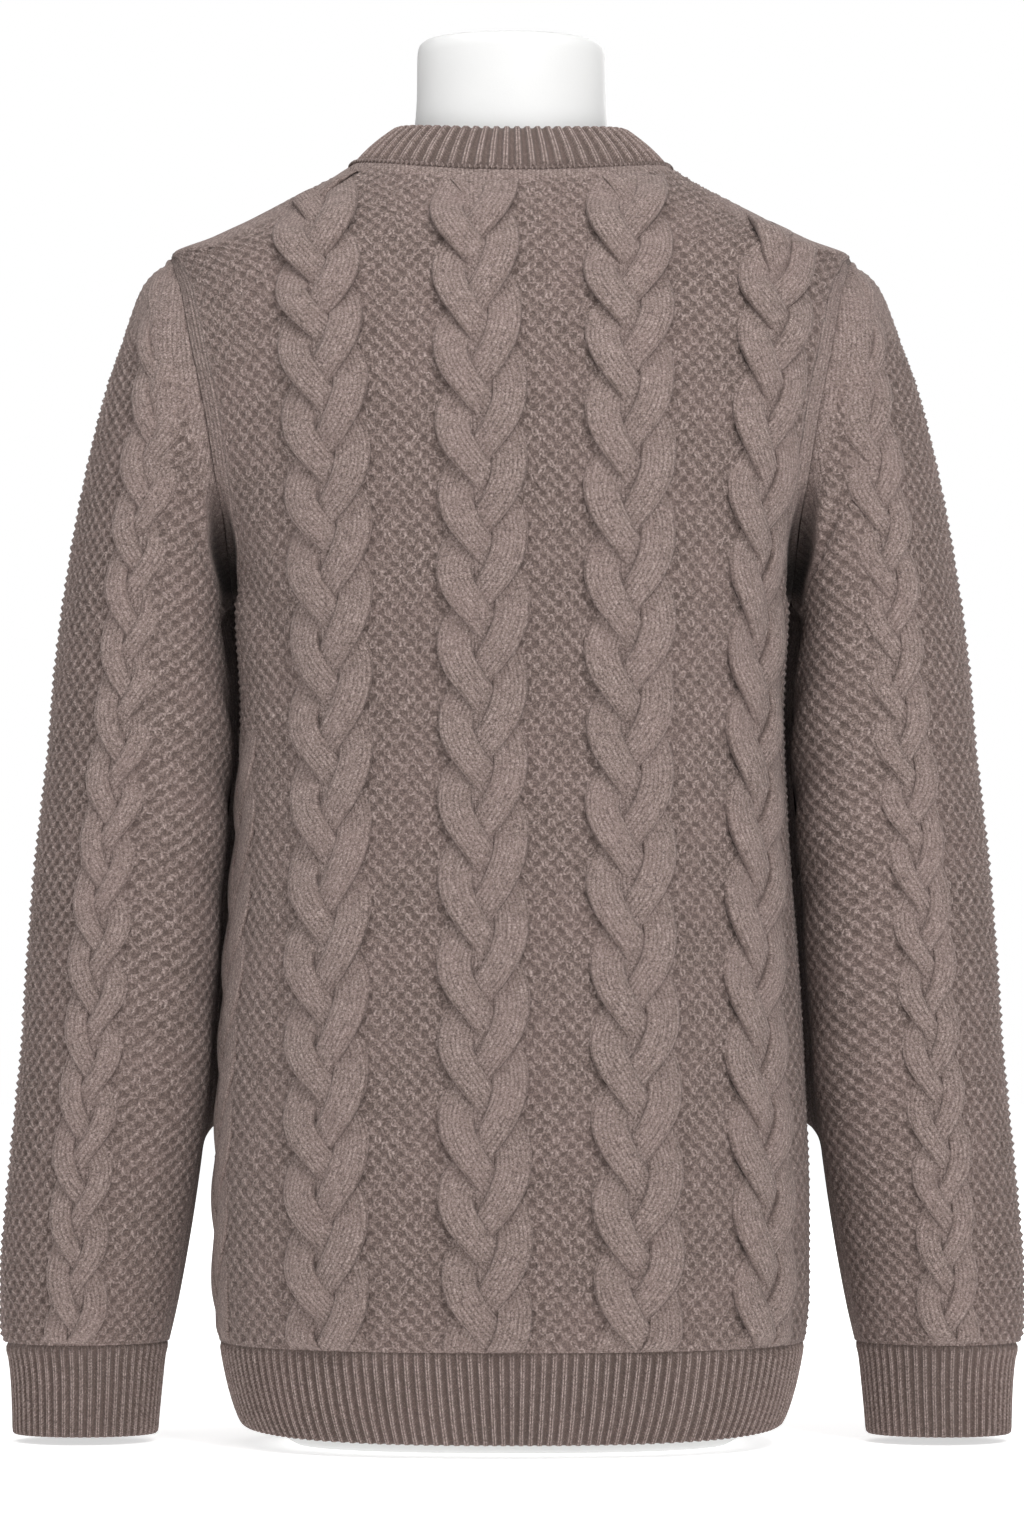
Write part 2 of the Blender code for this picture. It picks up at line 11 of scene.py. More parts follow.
import bmesh
import bpy
import numpy as np
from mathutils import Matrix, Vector


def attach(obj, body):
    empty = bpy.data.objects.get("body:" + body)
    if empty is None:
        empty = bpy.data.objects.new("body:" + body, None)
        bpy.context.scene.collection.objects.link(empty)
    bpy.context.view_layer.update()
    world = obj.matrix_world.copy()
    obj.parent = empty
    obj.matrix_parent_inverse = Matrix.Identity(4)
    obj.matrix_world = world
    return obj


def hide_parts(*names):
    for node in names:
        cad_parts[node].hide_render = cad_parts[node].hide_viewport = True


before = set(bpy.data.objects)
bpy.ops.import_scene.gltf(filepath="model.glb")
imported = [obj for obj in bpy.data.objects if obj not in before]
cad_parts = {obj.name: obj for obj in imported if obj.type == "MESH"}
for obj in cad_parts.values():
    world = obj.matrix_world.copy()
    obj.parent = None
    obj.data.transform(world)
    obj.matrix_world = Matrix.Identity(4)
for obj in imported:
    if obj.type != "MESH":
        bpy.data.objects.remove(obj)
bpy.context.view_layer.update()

# ---------------------------------------------------------------- the garment's form, as in the CAD part

SEAM_GAP = 0.0003
NECKBAND_GAP = 0.0008  # from the neckline, along the band's own lean
HEM_Z = 0.006
HEM_SEAM_Z = 0.055
CUFF_SEAM_Z = 0.0530
UNDERARM_Z = 0.450
BELOW_ARMHOLE_Z = UNDERARM_Z - 0.001  # a level just under it, where sections are whole
SHOULDER_Z = 0.638
NECK_POINT_Z = 0.6885
UNDERARM_X = 0.153
SHOULDER_X = 0.184
NECK_HALF_WIDTH = 0.0865
ARMHOLE_HALF_DEPTH = 0.056
BACK_NECK_DROP = 0.0103  # from the neck point down to the neckline's middle
FRONT_NECK_DROP = 0.0825
NECKBAND_WIDTH = 0.0320
NECKBAND_LEAN_SIDE = math.radians(39.6)
NECKBAND_LEAN_MIDDLE = math.radians(54.0)
NECK_AXIS_Y = -0.010
SIDES = ("back", "front")
MIRROR_X = np.array([-1.0, 1.0, 1.0])

BODY_COLUMNS = ("height", "half_width", "back", "front", "roundness")
BODY = (
    (0.006, 0.1425, 0.105, 0.107, 2.40),
    (0.020, 0.1485, 0.111, 0.112, 2.40),
    (0.036, 0.1530, 0.115, 0.116, 2.40),
    (0.055, 0.1565, 0.118, 0.119, 2.40),
    (0.085, 0.1600, 0.1205, 0.1205, 2.40),
    (0.130, 0.1605, 0.1195, 0.1195, 2.40),
    (0.180, 0.1590, 0.115, 0.116, 2.40),
    (0.260, 0.1555, 0.107, 0.109, 2.40),
    (0.330, 0.1515, 0.101, 0.105, 2.42),
    (0.390, 0.1500, 0.100, 0.105, 2.50),
    (0.450, 0.1530, 0.105, 0.111, 2.74),
    (0.500, 0.1530, 0.109, 0.116, 2.52),
    (0.540, 0.1530, 0.1105, 0.1165, 2.42),
    (0.580, 0.1530, 0.107, 0.110, 2.40),
    (0.610, 0.1530, 0.100, 0.099, 2.40),
    (0.638, 0.1530, 0.090, 0.084, 2.40),
    (0.650, 0.1530, 0.084, 0.077, 2.40),
    (0.661, 0.1530, 0.077, 0.070, 2.40),
    (0.672, 0.1530, 0.069, 0.062, 2.40),
    (0.680, 0.1530, 0.062, 0.055, 2.40),
    (0.690, 0.1530, 0.052, 0.045, 2.40),
)
SHOULDER_LINE = (
    (0.638, 0.1840),
    (0.644, 0.1720),
    (0.650, 0.1590),
    (0.656, 0.1460),
    (0.6625, 0.1335),
    (0.669, 0.1210),
    (0.6755, 0.1075),
    (0.682, 0.0965),
    (0.6885, 0.0865),
)
# inner x and z, outer x and z, half depth, forward
SLEEVE = (
    (UNDERARM_X, UNDERARM_Z, SHOULDER_X, SHOULDER_Z, ARMHOLE_HALF_DEPTH, 0.000),
    (0.1546, 0.4484, 0.1955, 0.6275, 0.0570, 0.000),
    (0.1560, 0.4464, 0.2055, 0.6065, 0.0580, 0.000),
    (0.1572, 0.4438, 0.2145, 0.5810, 0.0588, 0.001),
    (0.1580, 0.4405, 0.2225, 0.5525, 0.0595, 0.001),
    (0.1583, 0.4365, 0.2295, 0.5235, 0.0600, 0.002),
    (0.1582, 0.4310, 0.2355, 0.4940, 0.0600, 0.003),
    (0.1575, 0.4230, 0.2402, 0.4670, 0.0600, 0.004),
    (0.1560, 0.4090, 0.2442, 0.4400, 0.0598, 0.005),
    (0.1550, 0.3880, 0.2475, 0.4110, 0.0595, 0.006),
    (0.1548, 0.3620, 0.2503, 0.3770, 0.0590, 0.007),
    (0.1556, 0.3330, 0.2538, 0.3420, 0.0586, 0.008),
    (0.1575, 0.3000, 0.2580, 0.3030, 0.0580, 0.008),
    (0.1600, 0.2580, 0.2615, 0.2570, 0.0572, 0.009),
    (0.1625, 0.2150, 0.2643, 0.2120, 0.0562, 0.009),
    (0.1660, 0.1700, 0.2690, 0.1650, 0.0548, 0.010),
    (0.1710, 0.1300, 0.2728, 0.1240, 0.0530, 0.010),
    (0.1765, 0.0960, 0.2754, 0.0920, 0.0506, 0.011),
    (0.1815, 0.0700, 0.2755, 0.0670, 0.0478, 0.011),
    (0.1855, 0.0530, 0.2735, 0.0510, 0.0440, 0.012),
)
# The cuff's rings go on from the sleeve's last one
CUFF = (
    SLEEVE[-1],
    (0.1875, 0.0460, 0.2715, 0.0445, 0.0410, 0.012),
    (0.1890, 0.0320, 0.2700, 0.0310, 0.0380, 0.012),
    (0.1908, 0.0130, 0.2692, 0.0125, 0.0355, 0.012),
    (0.1915, 0.0035, 0.2690, 0.0035, 0.0345, 0.012),
)

# The dress form, as in the CAD part
# height, half width, depth behind, depth in front, forward, roundness
FORM = (
    (0.000, 0.116, 0.074, 0.080, 0.0000, 2.40),
    (0.003, 0.121, 0.079, 0.085, 0.0000, 2.40),
    (0.010, 0.127, 0.086, 0.092, 0.0000, 2.40),
    (0.028, 0.137, 0.096, 0.101, 0.0000, 2.40),
    (0.055, 0.146, 0.104, 0.110, 0.0000, 2.40),
    (0.110, 0.150, 0.107, 0.113, 0.0000, 2.40),
    (0.180, 0.147, 0.102, 0.109, 0.0000, 2.40),
    (0.260, 0.142, 0.093, 0.101, 0.0000, 2.40),
    (0.330, 0.137, 0.087, 0.097, 0.0000, 2.40),
    (0.390, 0.137, 0.087, 0.098, 0.0000, 2.40),
    (0.450, 0.141, 0.093, 0.104, 0.0000, 2.40),
    (0.500, 0.147, 0.099, 0.109, 0.0000, 2.40),
    (0.540, 0.153, 0.101, 0.108, 0.0000, 2.40),
    (0.580, 0.160, 0.098, 0.100, 0.0004, 2.40),
    (0.605, 0.165, 0.092, 0.088, 0.0009, 2.40),
    (0.624, 0.168, 0.086, 0.077, 0.0014, 2.40),
    (0.6350, 0.1685, 0.0830, 0.0725, 0.0018, 2.40),
    (0.6410, 0.1657, 0.0800, 0.0675, 0.0022, 2.40),
    (0.6476, 0.1567, 0.0765, 0.0630, 0.0026, 2.40),
    (0.6536, 0.1438, 0.0725, 0.0590, 0.0030, 2.40),
    (0.6601, 0.1310, 0.0675, 0.0550, 0.0036, 2.40),
    (0.6666, 0.1175, 0.0620, 0.0505, 0.0042, 2.36),
    (0.6731, 0.1025, 0.0565, 0.0468, 0.0048, 2.30),
    (0.6796, 0.0875, 0.0510, 0.0450, 0.0053, 2.24),
    (0.6860, 0.0735, 0.0470, 0.0455, 0.0057, 2.16),
    (0.6925, 0.0622, 0.0445, 0.0468, 0.0060, 2.10),
    (0.7000, 0.0562, 0.0425, 0.0490, 0.0060, 2.06),
    (0.7120, 0.0530, 0.0415, 0.0500, 0.0060, 2.04),
    (0.7300, 0.0518, 0.0412, 0.0505, 0.0060, 2.04),
    (0.7500, 0.0516, 0.0412, 0.0505, 0.0060, 2.04),
    (0.7555, 0.0506, 0.0402, 0.0495, 0.0060, 2.04),
    (0.7580, 0.0480, 0.0376, 0.0469, 0.0060, 2.04),
)
FORM_COLUMNS = 96

# ---------------------------------------------------------------- the knitting

CELL = 0.0041  # the ground is a checkerboard of raised and sunk stitches of this size
BUMP = 0.00105  # how far they stand out and in
WALE = 0.0022  # one column of plain knitting
COURSE = 0.0017  # and one row of it
EDGE_BAND = 0.013  # plain wales along the side seams and armholes
EDGE_WALE = EDGE_BAND / 4
NECK_BAND = 0.0078  # the plain strip below the neckband
SHOULDER_BAND = 0.0050  # and the one beside the shoulder seam
UNDERARM_BAND = 0.017  # plain strip on each side of a sleeve's seam
LAYOUT_Z = 0.33  # the level at which a panel's wales are laid out

# The camera, and what relates its picture to the object
PICTURE_ROWS = 1540
CAMERA_DISTANCE = 2.8
CAMERA_Z = 0.237
PIXEL = 0.00054  # metres to a pixel at y = 0, in the 1024 x 1540 image
HORIZON_ROW = 1000
MIDDLE_COLUMN = 512

# The back's cables, by pixel in the 1024 x 1540 image: (row, column) of the centre line, and the rows
# at which a strand from the image's left ends on the centre line
BACK_CABLES = (
    (
        (
            (190, 318), (232, 315), (300, 318), (350, 321), (430, 325), (500, 327), (580, 329), (740, 330),
            (815, 330), (975, 326), (1200, 326), (1290, 327),
        ),
        (215, 272, 329, 399, 471, 541, 616, 694, 774, 854, 936, 1016, 1093, 1169, 1241, 1312),
    ),
    (
        (
            (180, 474), (240, 475), (300, 477), (370, 480), (444, 482), (580, 483), (830, 483), (1000, 483),
            (1100, 483), (1200, 485), (1290, 487),
        ),
        (190, 255, 329, 404, 478, 551, 625, 703, 780, 862, 944, 1024, 1101, 1181, 1257, 1332),
    ),
    (
        (
            (180, 630), (250, 630), (340, 630), (530, 630), (730, 630), (880, 631), (990, 634), (1090, 636),
            (1170, 637), (1313, 638),
        ),
        (190, 253, 317, 390, 471, 552, 632, 712, 788, 868, 950, 1030, 1107, 1186, 1266, 1338),
    ),
    (
        (
            (205, 768), (257, 781), (320, 780), (385, 776), (448, 771), (518, 767), (596, 763), (730, 759),
            (880, 758), (983, 757), (1047, 759), (1110, 762), (1190, 765), (1290, 766),
        ),
        (206, 262, 320, 392, 473, 552, 634, 716, 796, 878, 962, 1043, 1122, 1198, 1276, 1346),
    ),
)
SIDE_CABLE_FROM_SEAM = 0.033  # one more cable curves round the side on the image's left
SIDE_CABLE_TOP = 0.405
FRONT_CABLES = (-0.128, -0.043, 0.043, 0.128)  # arcs from the middle
CABLE_PITCH = 0.042  # from one strand to the next on the same side
FIRST_CROSSING = 188.0  # the plait's angle there, in degrees, where a strand ends on the centre line

# A cable's swing to each side, half a strand's width, how far it rises and dips at its crossings, the
# height of its dome and of the dome's foot; then the share of that height it keeps at its top end, the
# length over which it loses the rest, and the share it keeps where the cloth faces up
CABLE_KEYS = ("swing", "half_width", "rise", "dome", "foot", "at_end", "fade", "on_top")
BODY_CABLE = dict(zip(CABLE_KEYS, (0.0146, 0.0084, 0.0031, 0.0026, 0.0018, 0.28, 0.030, 0.12)))
SIDE_CABLE = dict(zip(CABLE_KEYS, (0.0146, 0.0080, 0.0010, 0.0013, 0.0002, 0.0, 0.05, 1.0)))
SLEEVE_CABLE = dict(zip(CABLE_KEYS, (0.0100, 0.0056, 0.0024, 0.0022, 0.0014, 0.30, 0.085, 1.0)))
RIGHT_STRAND_LAG = 0.127  # radians: strands from the image's right cross a little lower than midway
SLEEVE_CABLE_PITCH = 0.0335
SLEEVE_CABLE_TOP = 0.6365
SLEEVE_CABLE_TAPER = 0.32  # the share of its width that it loses towards its top
# Centre line of the left sleeve's cable, by pixel row and column
SLEEVE_CABLE_LINE = (
    (262, 177), (300, 171), (370, 162), (440, 152), (520, 142), (600, 134), (674, 128), (742, 121),
    (820, 111), (900, 102), (988, 97), (1058, 92), (1140, 84), (1220, 79), (1296, 76), (1345, 74),
)

SIDE_SAMPLES = 140
LONGEST_FAN = 0.05  # no face reaches further, where a wale ends far below the next
HEM_RIBS = 81  # on each half of the body
CUFF_RIBS = 54
NECK_RIBS = 82


def smooth_curve(stations, values):
    """A monotone cubic through a table's rows: smooth, and with no overshoot between them."""
    xs, ys = np.array(stations, float), np.array(values, float)
    steps = np.diff(xs)
    slopes = np.diff(ys) / steps
    tangents = np.empty(len(xs))
    tangents[0], tangents[-1] = slopes[0], slopes[-1]
    before, after = slopes[:-1], slopes[1:]
    weight_before = 2 * steps[1:] + steps[:-1]
    weight_after = steps[1:] + 2 * steps[:-1]
    same_way = before * after > 0
    safe_before = np.where(same_way, before, 1.0)
    safe_after = np.where(same_way, after, 1.0)
    mean = (weight_before + weight_after) / (weight_before / safe_before + weight_after / safe_after)
    tangents[1:-1] = np.where(same_way, mean, 0.0)

    def at(x):
        x = np.clip(x, xs[0], xs[-1])
        k = np.clip(np.searchsorted(xs, x) - 1, 0, len(steps) - 1)
        t = (x - xs[k]) / steps[k]
        start = (1 + 2 * t) * (1 - t) ** 2 * ys[k] + t * (1 - t) ** 2 * steps[k] * tangents[k]
        end = t * t * (3 - 2 * t) * ys[k + 1] + t * t * (t - 1) * steps[k] * tangents[k + 1]
        return start + end

    return at


def curves(rows):
    """A smooth curve for each later column of a table, by its first column."""
    first, *others = zip(*rows)
    return [smooth_curve(first, column) for column in others]


def stacked(*values):
    return np.stack(np.broadcast_arrays(*values), axis=-1)


def lengths_along(points):
    """How far each point is along a line of points, or along each column of them."""
    steps = np.linalg.norm(np.diff(points, axis=0), axis=-1)
    return np.concatenate([np.zeros_like(steps[:1]), np.cumsum(steps, axis=0)])


def unit(vectors):
    return vectors / np.linalg.norm(vectors, axis=-1, keepdims=True)


def smoothstep(low, high, x):
    t = np.clip((x - low) / (high - low), 0.0, 1.0)
    return t * t * (3 - 2 * t)


def random_of(i, j, seed):
    """A fixed number from 0 to 1 for each pair of whole numbers."""
    value = np.sin(i * 127.1 + j * 311.7 + seed * 74.7) * 43758.5453
    return value - np.floor(value)


body = dict(zip(BODY_COLUMNS[1:], curves(BODY)))
shoulder_half_width = curves(SHOULDER_LINE)[0]


def edge_of_half_section(height):
    """Where a panel's horizontal section ends: side seam, armhole or shoulder seam, as (x, y)."""
    up = np.clip((height - UNDERARM_Z) / (SHOULDER_Z - UNDERARM_Z), 0.0, 1.0)
    on_armhole = UNDERARM_X + up * (SHOULDER_X - UNDERARM_X)
    x = np.where(height < UNDERARM_Z, body["half_width"](height), on_armhole)
    x = np.where(height > SHOULDER_Z, shoulder_half_width(height), x)
    y = ARMHOLE_HALF_DEPTH * np.sqrt(np.maximum(0.0, 1 - (2 * up - 1) ** 2))
    return x, y


def section(height, side):
    depth, power = body[side](height), body["roundness"](height)
    edge_x, edge_y = edge_of_half_section(height)
    reach = edge_x / (1 - (edge_y / depth) ** power) ** (1 / power)
    return reach, depth, power


def facing(side):
    return 1.0 if side == "back" else -1.0


def body_normal(points, side):
    """Outward unit normals of the garment's body, from the gradient of its section formula."""
    x, y, z = np.abs(points[..., 0]), np.abs(points[..., 1]), points[..., 2]

    def level(height):
        reach, depth, power = section(height, side)
        return (x / reach) ** power + (y / depth) ** power

    step = 0.0004
    reach, depth, power = section(z, side)
    gx = power * x ** (power - 1) / reach**power * np.sign(points[..., 0])
    gy = power * y ** (power - 1) / depth**power * np.sign(points[..., 1])
    gz = (level(z + step) - level(z - step)) / (2 * step)
    return unit(stacked(gx, gy, gz))


class Surface:
    """A cloth surface as horizontal sections. Every section runs from its far edge on one side of a
    reference wale to its far edge on the other, and a point is an arc length from that wale, with a
    sign, and a height."""

    def __init__(self, heights, sides):
        """sides holds two arrays (rows, samples, 6) of points and normals that start on the wale."""
        self.heights = heights
        spaced, self.reach = [], []
        for values in sides:
            arc = lengths_along(values[..., :3].swapaxes(0, 1)).T
            self.reach.append(arc[:, -1])
            share = np.linspace(0.0, 1.0, SIDE_SAMPLES + 1)
            rows = [
                stacked(*(np.interp(share * a[-1], a, column) for column in row.T))
                for a, row in zip(arc, values)
            ]
            spaced.append(np.array(rows))
        self.grid = np.concatenate([spaced[0][:, :0:-1], spaced[1]], axis=1)

    def reach_at(self, height, which):
        return np.interp(height, self.heights, self.reach[which])

    def at(self, arc, height):
        """Points and unit normals."""
        arc, height = np.broadcast_arrays(arc, height)
        low, high = self.reach_at(height, 0), self.reach_at(height, 1)
        share = np.clip(arc / np.where(arc < 0, low, high), -1.0, 1.0)
        i = np.clip(np.searchsorted(self.heights, height) - 1, 0, len(self.heights) - 2)
        t = np.clip((height - self.heights[i]) / (self.heights[i + 1] - self.heights[i]), 0.0, 1.0)[..., None]
        k = (share + 1) * SIDE_SAMPLES
        k0 = np.clip(np.floor(k).astype(int), 0, 2 * SIDE_SAMPLES - 1)
        f = (k - k0)[..., None]
        lower = self.grid[i, k0] * (1 - f) + self.grid[i, k0 + 1] * f
        upper = self.grid[i + 1, k0] * (1 - f) + self.grid[i + 1, k0 + 1] * f
        value = lower * (1 - t) + upper * t
        return value[..., :3], unit(value[..., 3:])


def panel_surface(side):
    heights = np.concatenate([np.linspace(HEM_Z, 0.44, 180), np.linspace(0.4412, NECK_POINT_Z, 320)])
    reach, depth, power = section(heights, side)
    edge_x, _ = edge_of_half_section(heights)
    end = np.arcsin(np.clip((edge_x / reach) ** (power / 2), 0.0, 1.0))
    angle = end[:, None] * np.linspace(0.0, 1.0, 201)
    x = reach[:, None] * np.sin(angle) ** (2 / power[:, None])
    y = depth[:, None] * np.abs(np.cos(angle)) ** (2 / power[:, None]) * facing(side)
    plus = stacked(x, y, heights[:, None])
    plus = np.concatenate([plus, body_normal(plus, side)], axis=-1)
    return Surface(heights, (plus * np.array([-1, 1, 1, -1, 1, 1.0]), plus))


def sleeve_rings(rows):
    """Two functions of (angle, ring) over a tube: its points, and its points with normals."""
    columns = curves([(k, *row) for k, row in enumerate(rows)])

    def point(angle, ring):
        inner_x, inner_z, outer_x, outer_z, half_depth, forward = (curve(ring) for curve in columns)
        c, s = np.cos(angle), np.sin(angle)
        x = (inner_x + outer_x) / 2 + (outer_x - inner_x) / 2 * c
        z = (inner_z + outer_z) / 2 + (outer_z - inner_z) / 2 * c
        return stacked(x, half_depth * s - forward, z)

    def both(angle, ring):
        step_a, step_r = 0.002, 0.01
        top = len(rows) - 1
        down = np.clip(ring + step_r, 0, top)
        up = np.clip(ring - step_r, 0, top)
        across = point(angle + step_a, ring) - point(angle - step_a, ring)
        along = point(angle, up) - point(angle, down)
        normal = np.cross(across, along)
        outward = point(angle, ring) - (point(angle, ring) + point(angle + math.pi, ring)) / 2
        normal *= np.sign(np.sum(normal * outward, axis=-1, keepdims=True))
        return np.concatenate([point(angle, ring), unit(normal)], axis=-1)

    return point, both


def from_image(row, column, depth):
    """x and height of the point at that depth (y) that the camera sees at a pixel."""
    scale = PIXEL * (CAMERA_DISTANCE - depth) / CAMERA_DISTANCE
    return (MIDDLE_COLUMN - column) * scale, CAMERA_Z + (HORIZON_ROW - row) * scale


def sleeve_surface():
    """The left sleeve. Its reference wale is the middle of its cable."""
    point, both = sleeve_rings(SLEEVE)
    cable_depth = 0.048
    line = [from_image(row, column, cable_depth) for row, column in SLEEVE_CABLE_LINE[::-1]]
    line_x = smooth_curve([z for _, z in line], [x for x, _ in line])
    heights = np.concatenate([np.linspace(0.0516, 0.4495, 190), np.linspace(0.4502, 0.6372, 220)])
    ring_stations = np.linspace(0.0, len(SLEEVE) - 1.0, 500)
    angles = np.linspace(-math.pi, math.pi, 721)
    z_of = point(angles[:, None], ring_stations[None, :])[..., 2]
    sides = ([], [])
    for height in heights:
        rings = np.array([np.interp(-height, -z, ring_stations) for z in z_of])
        limit = math.pi
        if height > UNDERARM_Z:
            middle, half = (UNDERARM_Z + SHOULDER_Z) / 2, (SHOULDER_Z - UNDERARM_Z) / 2
            limit = math.acos((height - middle) / half)
        farthest = math.radians(150)
        back = (angles > 0) & (angles < min(limit, farthest))
        x_back = point(angles[back], rings[back])[:, 0]
        start = float(np.interp(-line_x(height), -x_back, angles[back]))
        start = min(start, 0.84 * limit)
        for which, end in enumerate((-limit, limit)):
            along = np.linspace(start, end, 201)
            sides[which].append(both(along, np.interp(along, angles, rings)))
    return Surface(heights, (np.array(sides[0]), np.array(sides[1])))


# ---------------------------------------------------------------- meshes


def hang(points):
    """The garment hangs a little lower on its shoulder at the image's right."""
    x, z = points[:, 0], points[:, 2]
    amount = smoothstep(0.0, -0.095, x) * smoothstep(0.555, 0.655, z)
    return points + amount[:, None] * np.array([0.0012, 0.0, -0.0015])


def add_object(name, data):
    obj = bpy.data.objects.new(name, data)
    bpy.context.scene.collection.objects.link(obj)
    return obj


# A grid of vertices, rows by columns, with the numbers by which the materials count stitches and paint
# shade into their hollows, how plain it is (0 moss stitch, 1 plain knitting, 2 the bottom of the fold over
# the underarm, painted near black as its shadow), uv from 0 to 1 both ways, and each column's last row
Grid = namedtuple("Grid", "points outward uv stitch plain last", defaults=(None,))


def put_mesh(name, vertices, faces, uv, stitch, plain, material):
    """A smooth-shaded mesh object with a clean UV map and the stitch coordinates as attributes."""
    vertices = hang(vertices)
    mesh = bpy.data.meshes.new(name)
    mesh.from_pydata(vertices.tolist(), [], faces)
    mesh.shade_smooth()
    corner = np.empty(len(mesh.loops), np.int32)
    mesh.loops.foreach_get("vertex_index", corner)
    mesh.uv_layers.new(name="OFBake").data.foreach_set("uv", uv[corner].astype(np.float32).ravel())
    stitches = mesh.attributes.new("Stitch", "FLOAT_VECTOR", "POINT")
    stitches.data.foreach_set("vector", stitch.astype(np.float32).ravel())
    # the share of plain knitting here, and above 1 the painted shadow in the underarm fold
    plains = mesh.attributes.new("Plain", "FLOAT", "POINT")
    plains.data.foreach_set("value", plain.astype(np.float32).ravel())
    mesh.materials.append(material)
    return add_object(name, mesh)


def grid_faces(index, outward, points):
    """Faces of a grid of vertex numbers. A number that repeats up a column closes the face there."""
    a, b, c, d = index[:-1, :-1], index[:-1, 1:], index[1:, 1:], index[1:, :-1]
    across = points[:-1, 1:] - points[:-1, :-1]
    along = points[1:, :-1] - points[:-1, :-1]
    turned = np.sum(np.cross(across, along) * outward[:-1, :-1]) < 0
    left, right = a == d, b == c
    whole = ~left & ~right
    quads = np.stack([a[whole], b[whole], c[whole], d[whole]], axis=1)
    at_left, at_right = left & ~right, right & ~left
    left_ones = np.stack([a[at_left], b[at_left], c[at_left]], axis=1)
    right_ones = np.stack([a[at_right], b[at_right], d[at_right]], axis=1)
    triangles = np.concatenate([left_ones, right_ones])
    if turned:
        quads, triangles = quads[:, ::-1], triangles[:, ::-1]
    return quads, triangles


def finish_grids(name, grids, material):
    """One mesh from several grids, each with its own column of the UV square."""
    vertices, faces, uvs, stitches, plains = [], [], [], [], []
    offset = 0
    margin, width = (0.005, 0.99) if len(grids) == 1 else (0.03, 0.94)
    for k, grid in enumerate(grids):
        rows, columns = grid.points.shape[:2]
        index = np.arange(rows * columns).reshape(rows, columns)
        if grid.last is not None:
            row = np.minimum(np.arange(rows)[:, None], grid.last[None, :])
            index = row * columns + np.arange(columns)[None, :]
        quads, triangles = grid_faces(index, grid.outward, grid.points)
        corners = grid.points.reshape(-1, 3)[triangles]
        longest = np.linalg.norm(corners - np.roll(corners, 1, axis=1), axis=2).max(axis=1)
        triangles = triangles[longest < LONGEST_FAN]
        used = np.unique(np.concatenate([quads.ravel(), triangles.ravel()]))
        renumber = np.zeros(rows * columns, np.int64)
        renumber[used] = np.arange(len(used)) + offset
        faces += renumber[quads].tolist() + renumber[triangles].tolist()
        uv = grid.uv * (width / len(grids), 0.99) + ((k + margin) / len(grids), 0.005)
        vertices.append(grid.points.reshape(-1, 3)[used])
        uvs.append(uv.reshape(-1, 2)[used])
        stitches.append(grid.stitch.reshape(-1, 3)[used])
        plains.append(np.broadcast_to(grid.plain, (rows, columns)).reshape(-1)[used])
        offset += len(used)
    vertices, *others = (np.concatenate(values) for values in (vertices, uvs, stitches, plains))
    return put_mesh(name, vertices, faces, *others, material)


def mirrored(name, source):
    """The same mesh on the other side of the garment, with its faces turned to look outwards."""
    mesh = source.data.copy()
    mesh.name = name
    co = np.empty(len(mesh.vertices) * 3, np.float32)
    mesh.vertices.foreach_get("co", co)
    co = hang(co.reshape(-1, 3) * MIRROR_X.astype(np.float32)).astype(np.float32)
    mesh.vertices.foreach_set("co", co.ravel())
    mesh.flip_normals()
    mesh.update()
    return add_object(name, mesh)


# ---------------------------------------------------------------- wales over a surface


def lay_wales(surface, base, arcs_of, excess, step):
    """Rows a fixed step apart along every wale, from a height up to where the cloth is cut off.
    Returns heights, lengths from the base, and each wale's last row and length."""
    fine = np.concatenate([[base], surface.heights[surface.heights > base + 1e-5]])
    arcs = arcs_of(fine)
    points, _ = surface.at(arcs, fine[:, None])
    length = lengths_along(points)
    over = excess(arcs, fine[:, None] + 0 * arcs)
    tops = np.empty(arcs.shape[1])
    for c in range(arcs.shape[1]):
        beyond = np.nonzero(over[:, c] > 0)[0]
        if len(beyond) == 0:
            tops[c] = length[-1, c]
        elif beyond[0] == 0:
            tops[c] = 0.0
        else:
            i = beyond[0]
            t = over[i - 1, c] / (over[i - 1, c] - over[i, c])
            tops[c] = length[i - 1, c] + t * (length[i, c] - length[i - 1, c])
    last = np.maximum(1, np.ceil(tops / step - 0.3).astype(int))
    row = np.arange(last.max() + 1)[:, None]
    along = np.where(row >= last[None, :], tops[None, :], row * step)
    heights = np.stack([np.interp(along[:, c], length[:, c], fine) for c in range(len(tops))], axis=1)
    return heights, along, last, tops


def neck_height(x, side):
    inside = np.clip(1 - (x / NECK_HALF_WIDTH) ** 2, 0.0, 1.0)
    drop = BACK_NECK_DROP * inside if side == "back" else FRONT_NECK_DROP * np.sqrt(inside)
    return NECK_POINT_Z - drop


def panel_excess(surface, side):
    """How far a point is beyond the neckline or the shoulder seam; below zero inside the panel."""

    def excess(arc, height):
        x = np.abs(surface.at(arc, height)[0][..., 0])
        neck = np.where(x < NECK_HALF_WIDTH, height - neck_height(x, side), -1.0)
        at_armhole = (height > UNDERARM_Z) & (height < SHOULDER_Z)
        armhole = np.where(at_armhole, np.abs(arc) - surface.reach_at(height, 1), -1.0)
        neck = np.maximum(neck, armhole)
        beyond = np.where(height > SHOULDER_Z, 0.45 * (np.abs(arc) - surface.reach_at(height, 1)), -1.0)
        return np.maximum(neck, beyond)

    return excess


def sleeve_excess(surface):
    def excess(arc, height):
        over = np.maximum(arc - surface.reach_at(height, 1), -arc - surface.reach_at(height, 0))
        return np.where(height > UNDERARM_Z + 0.0001, over, -1.0)

    return excess


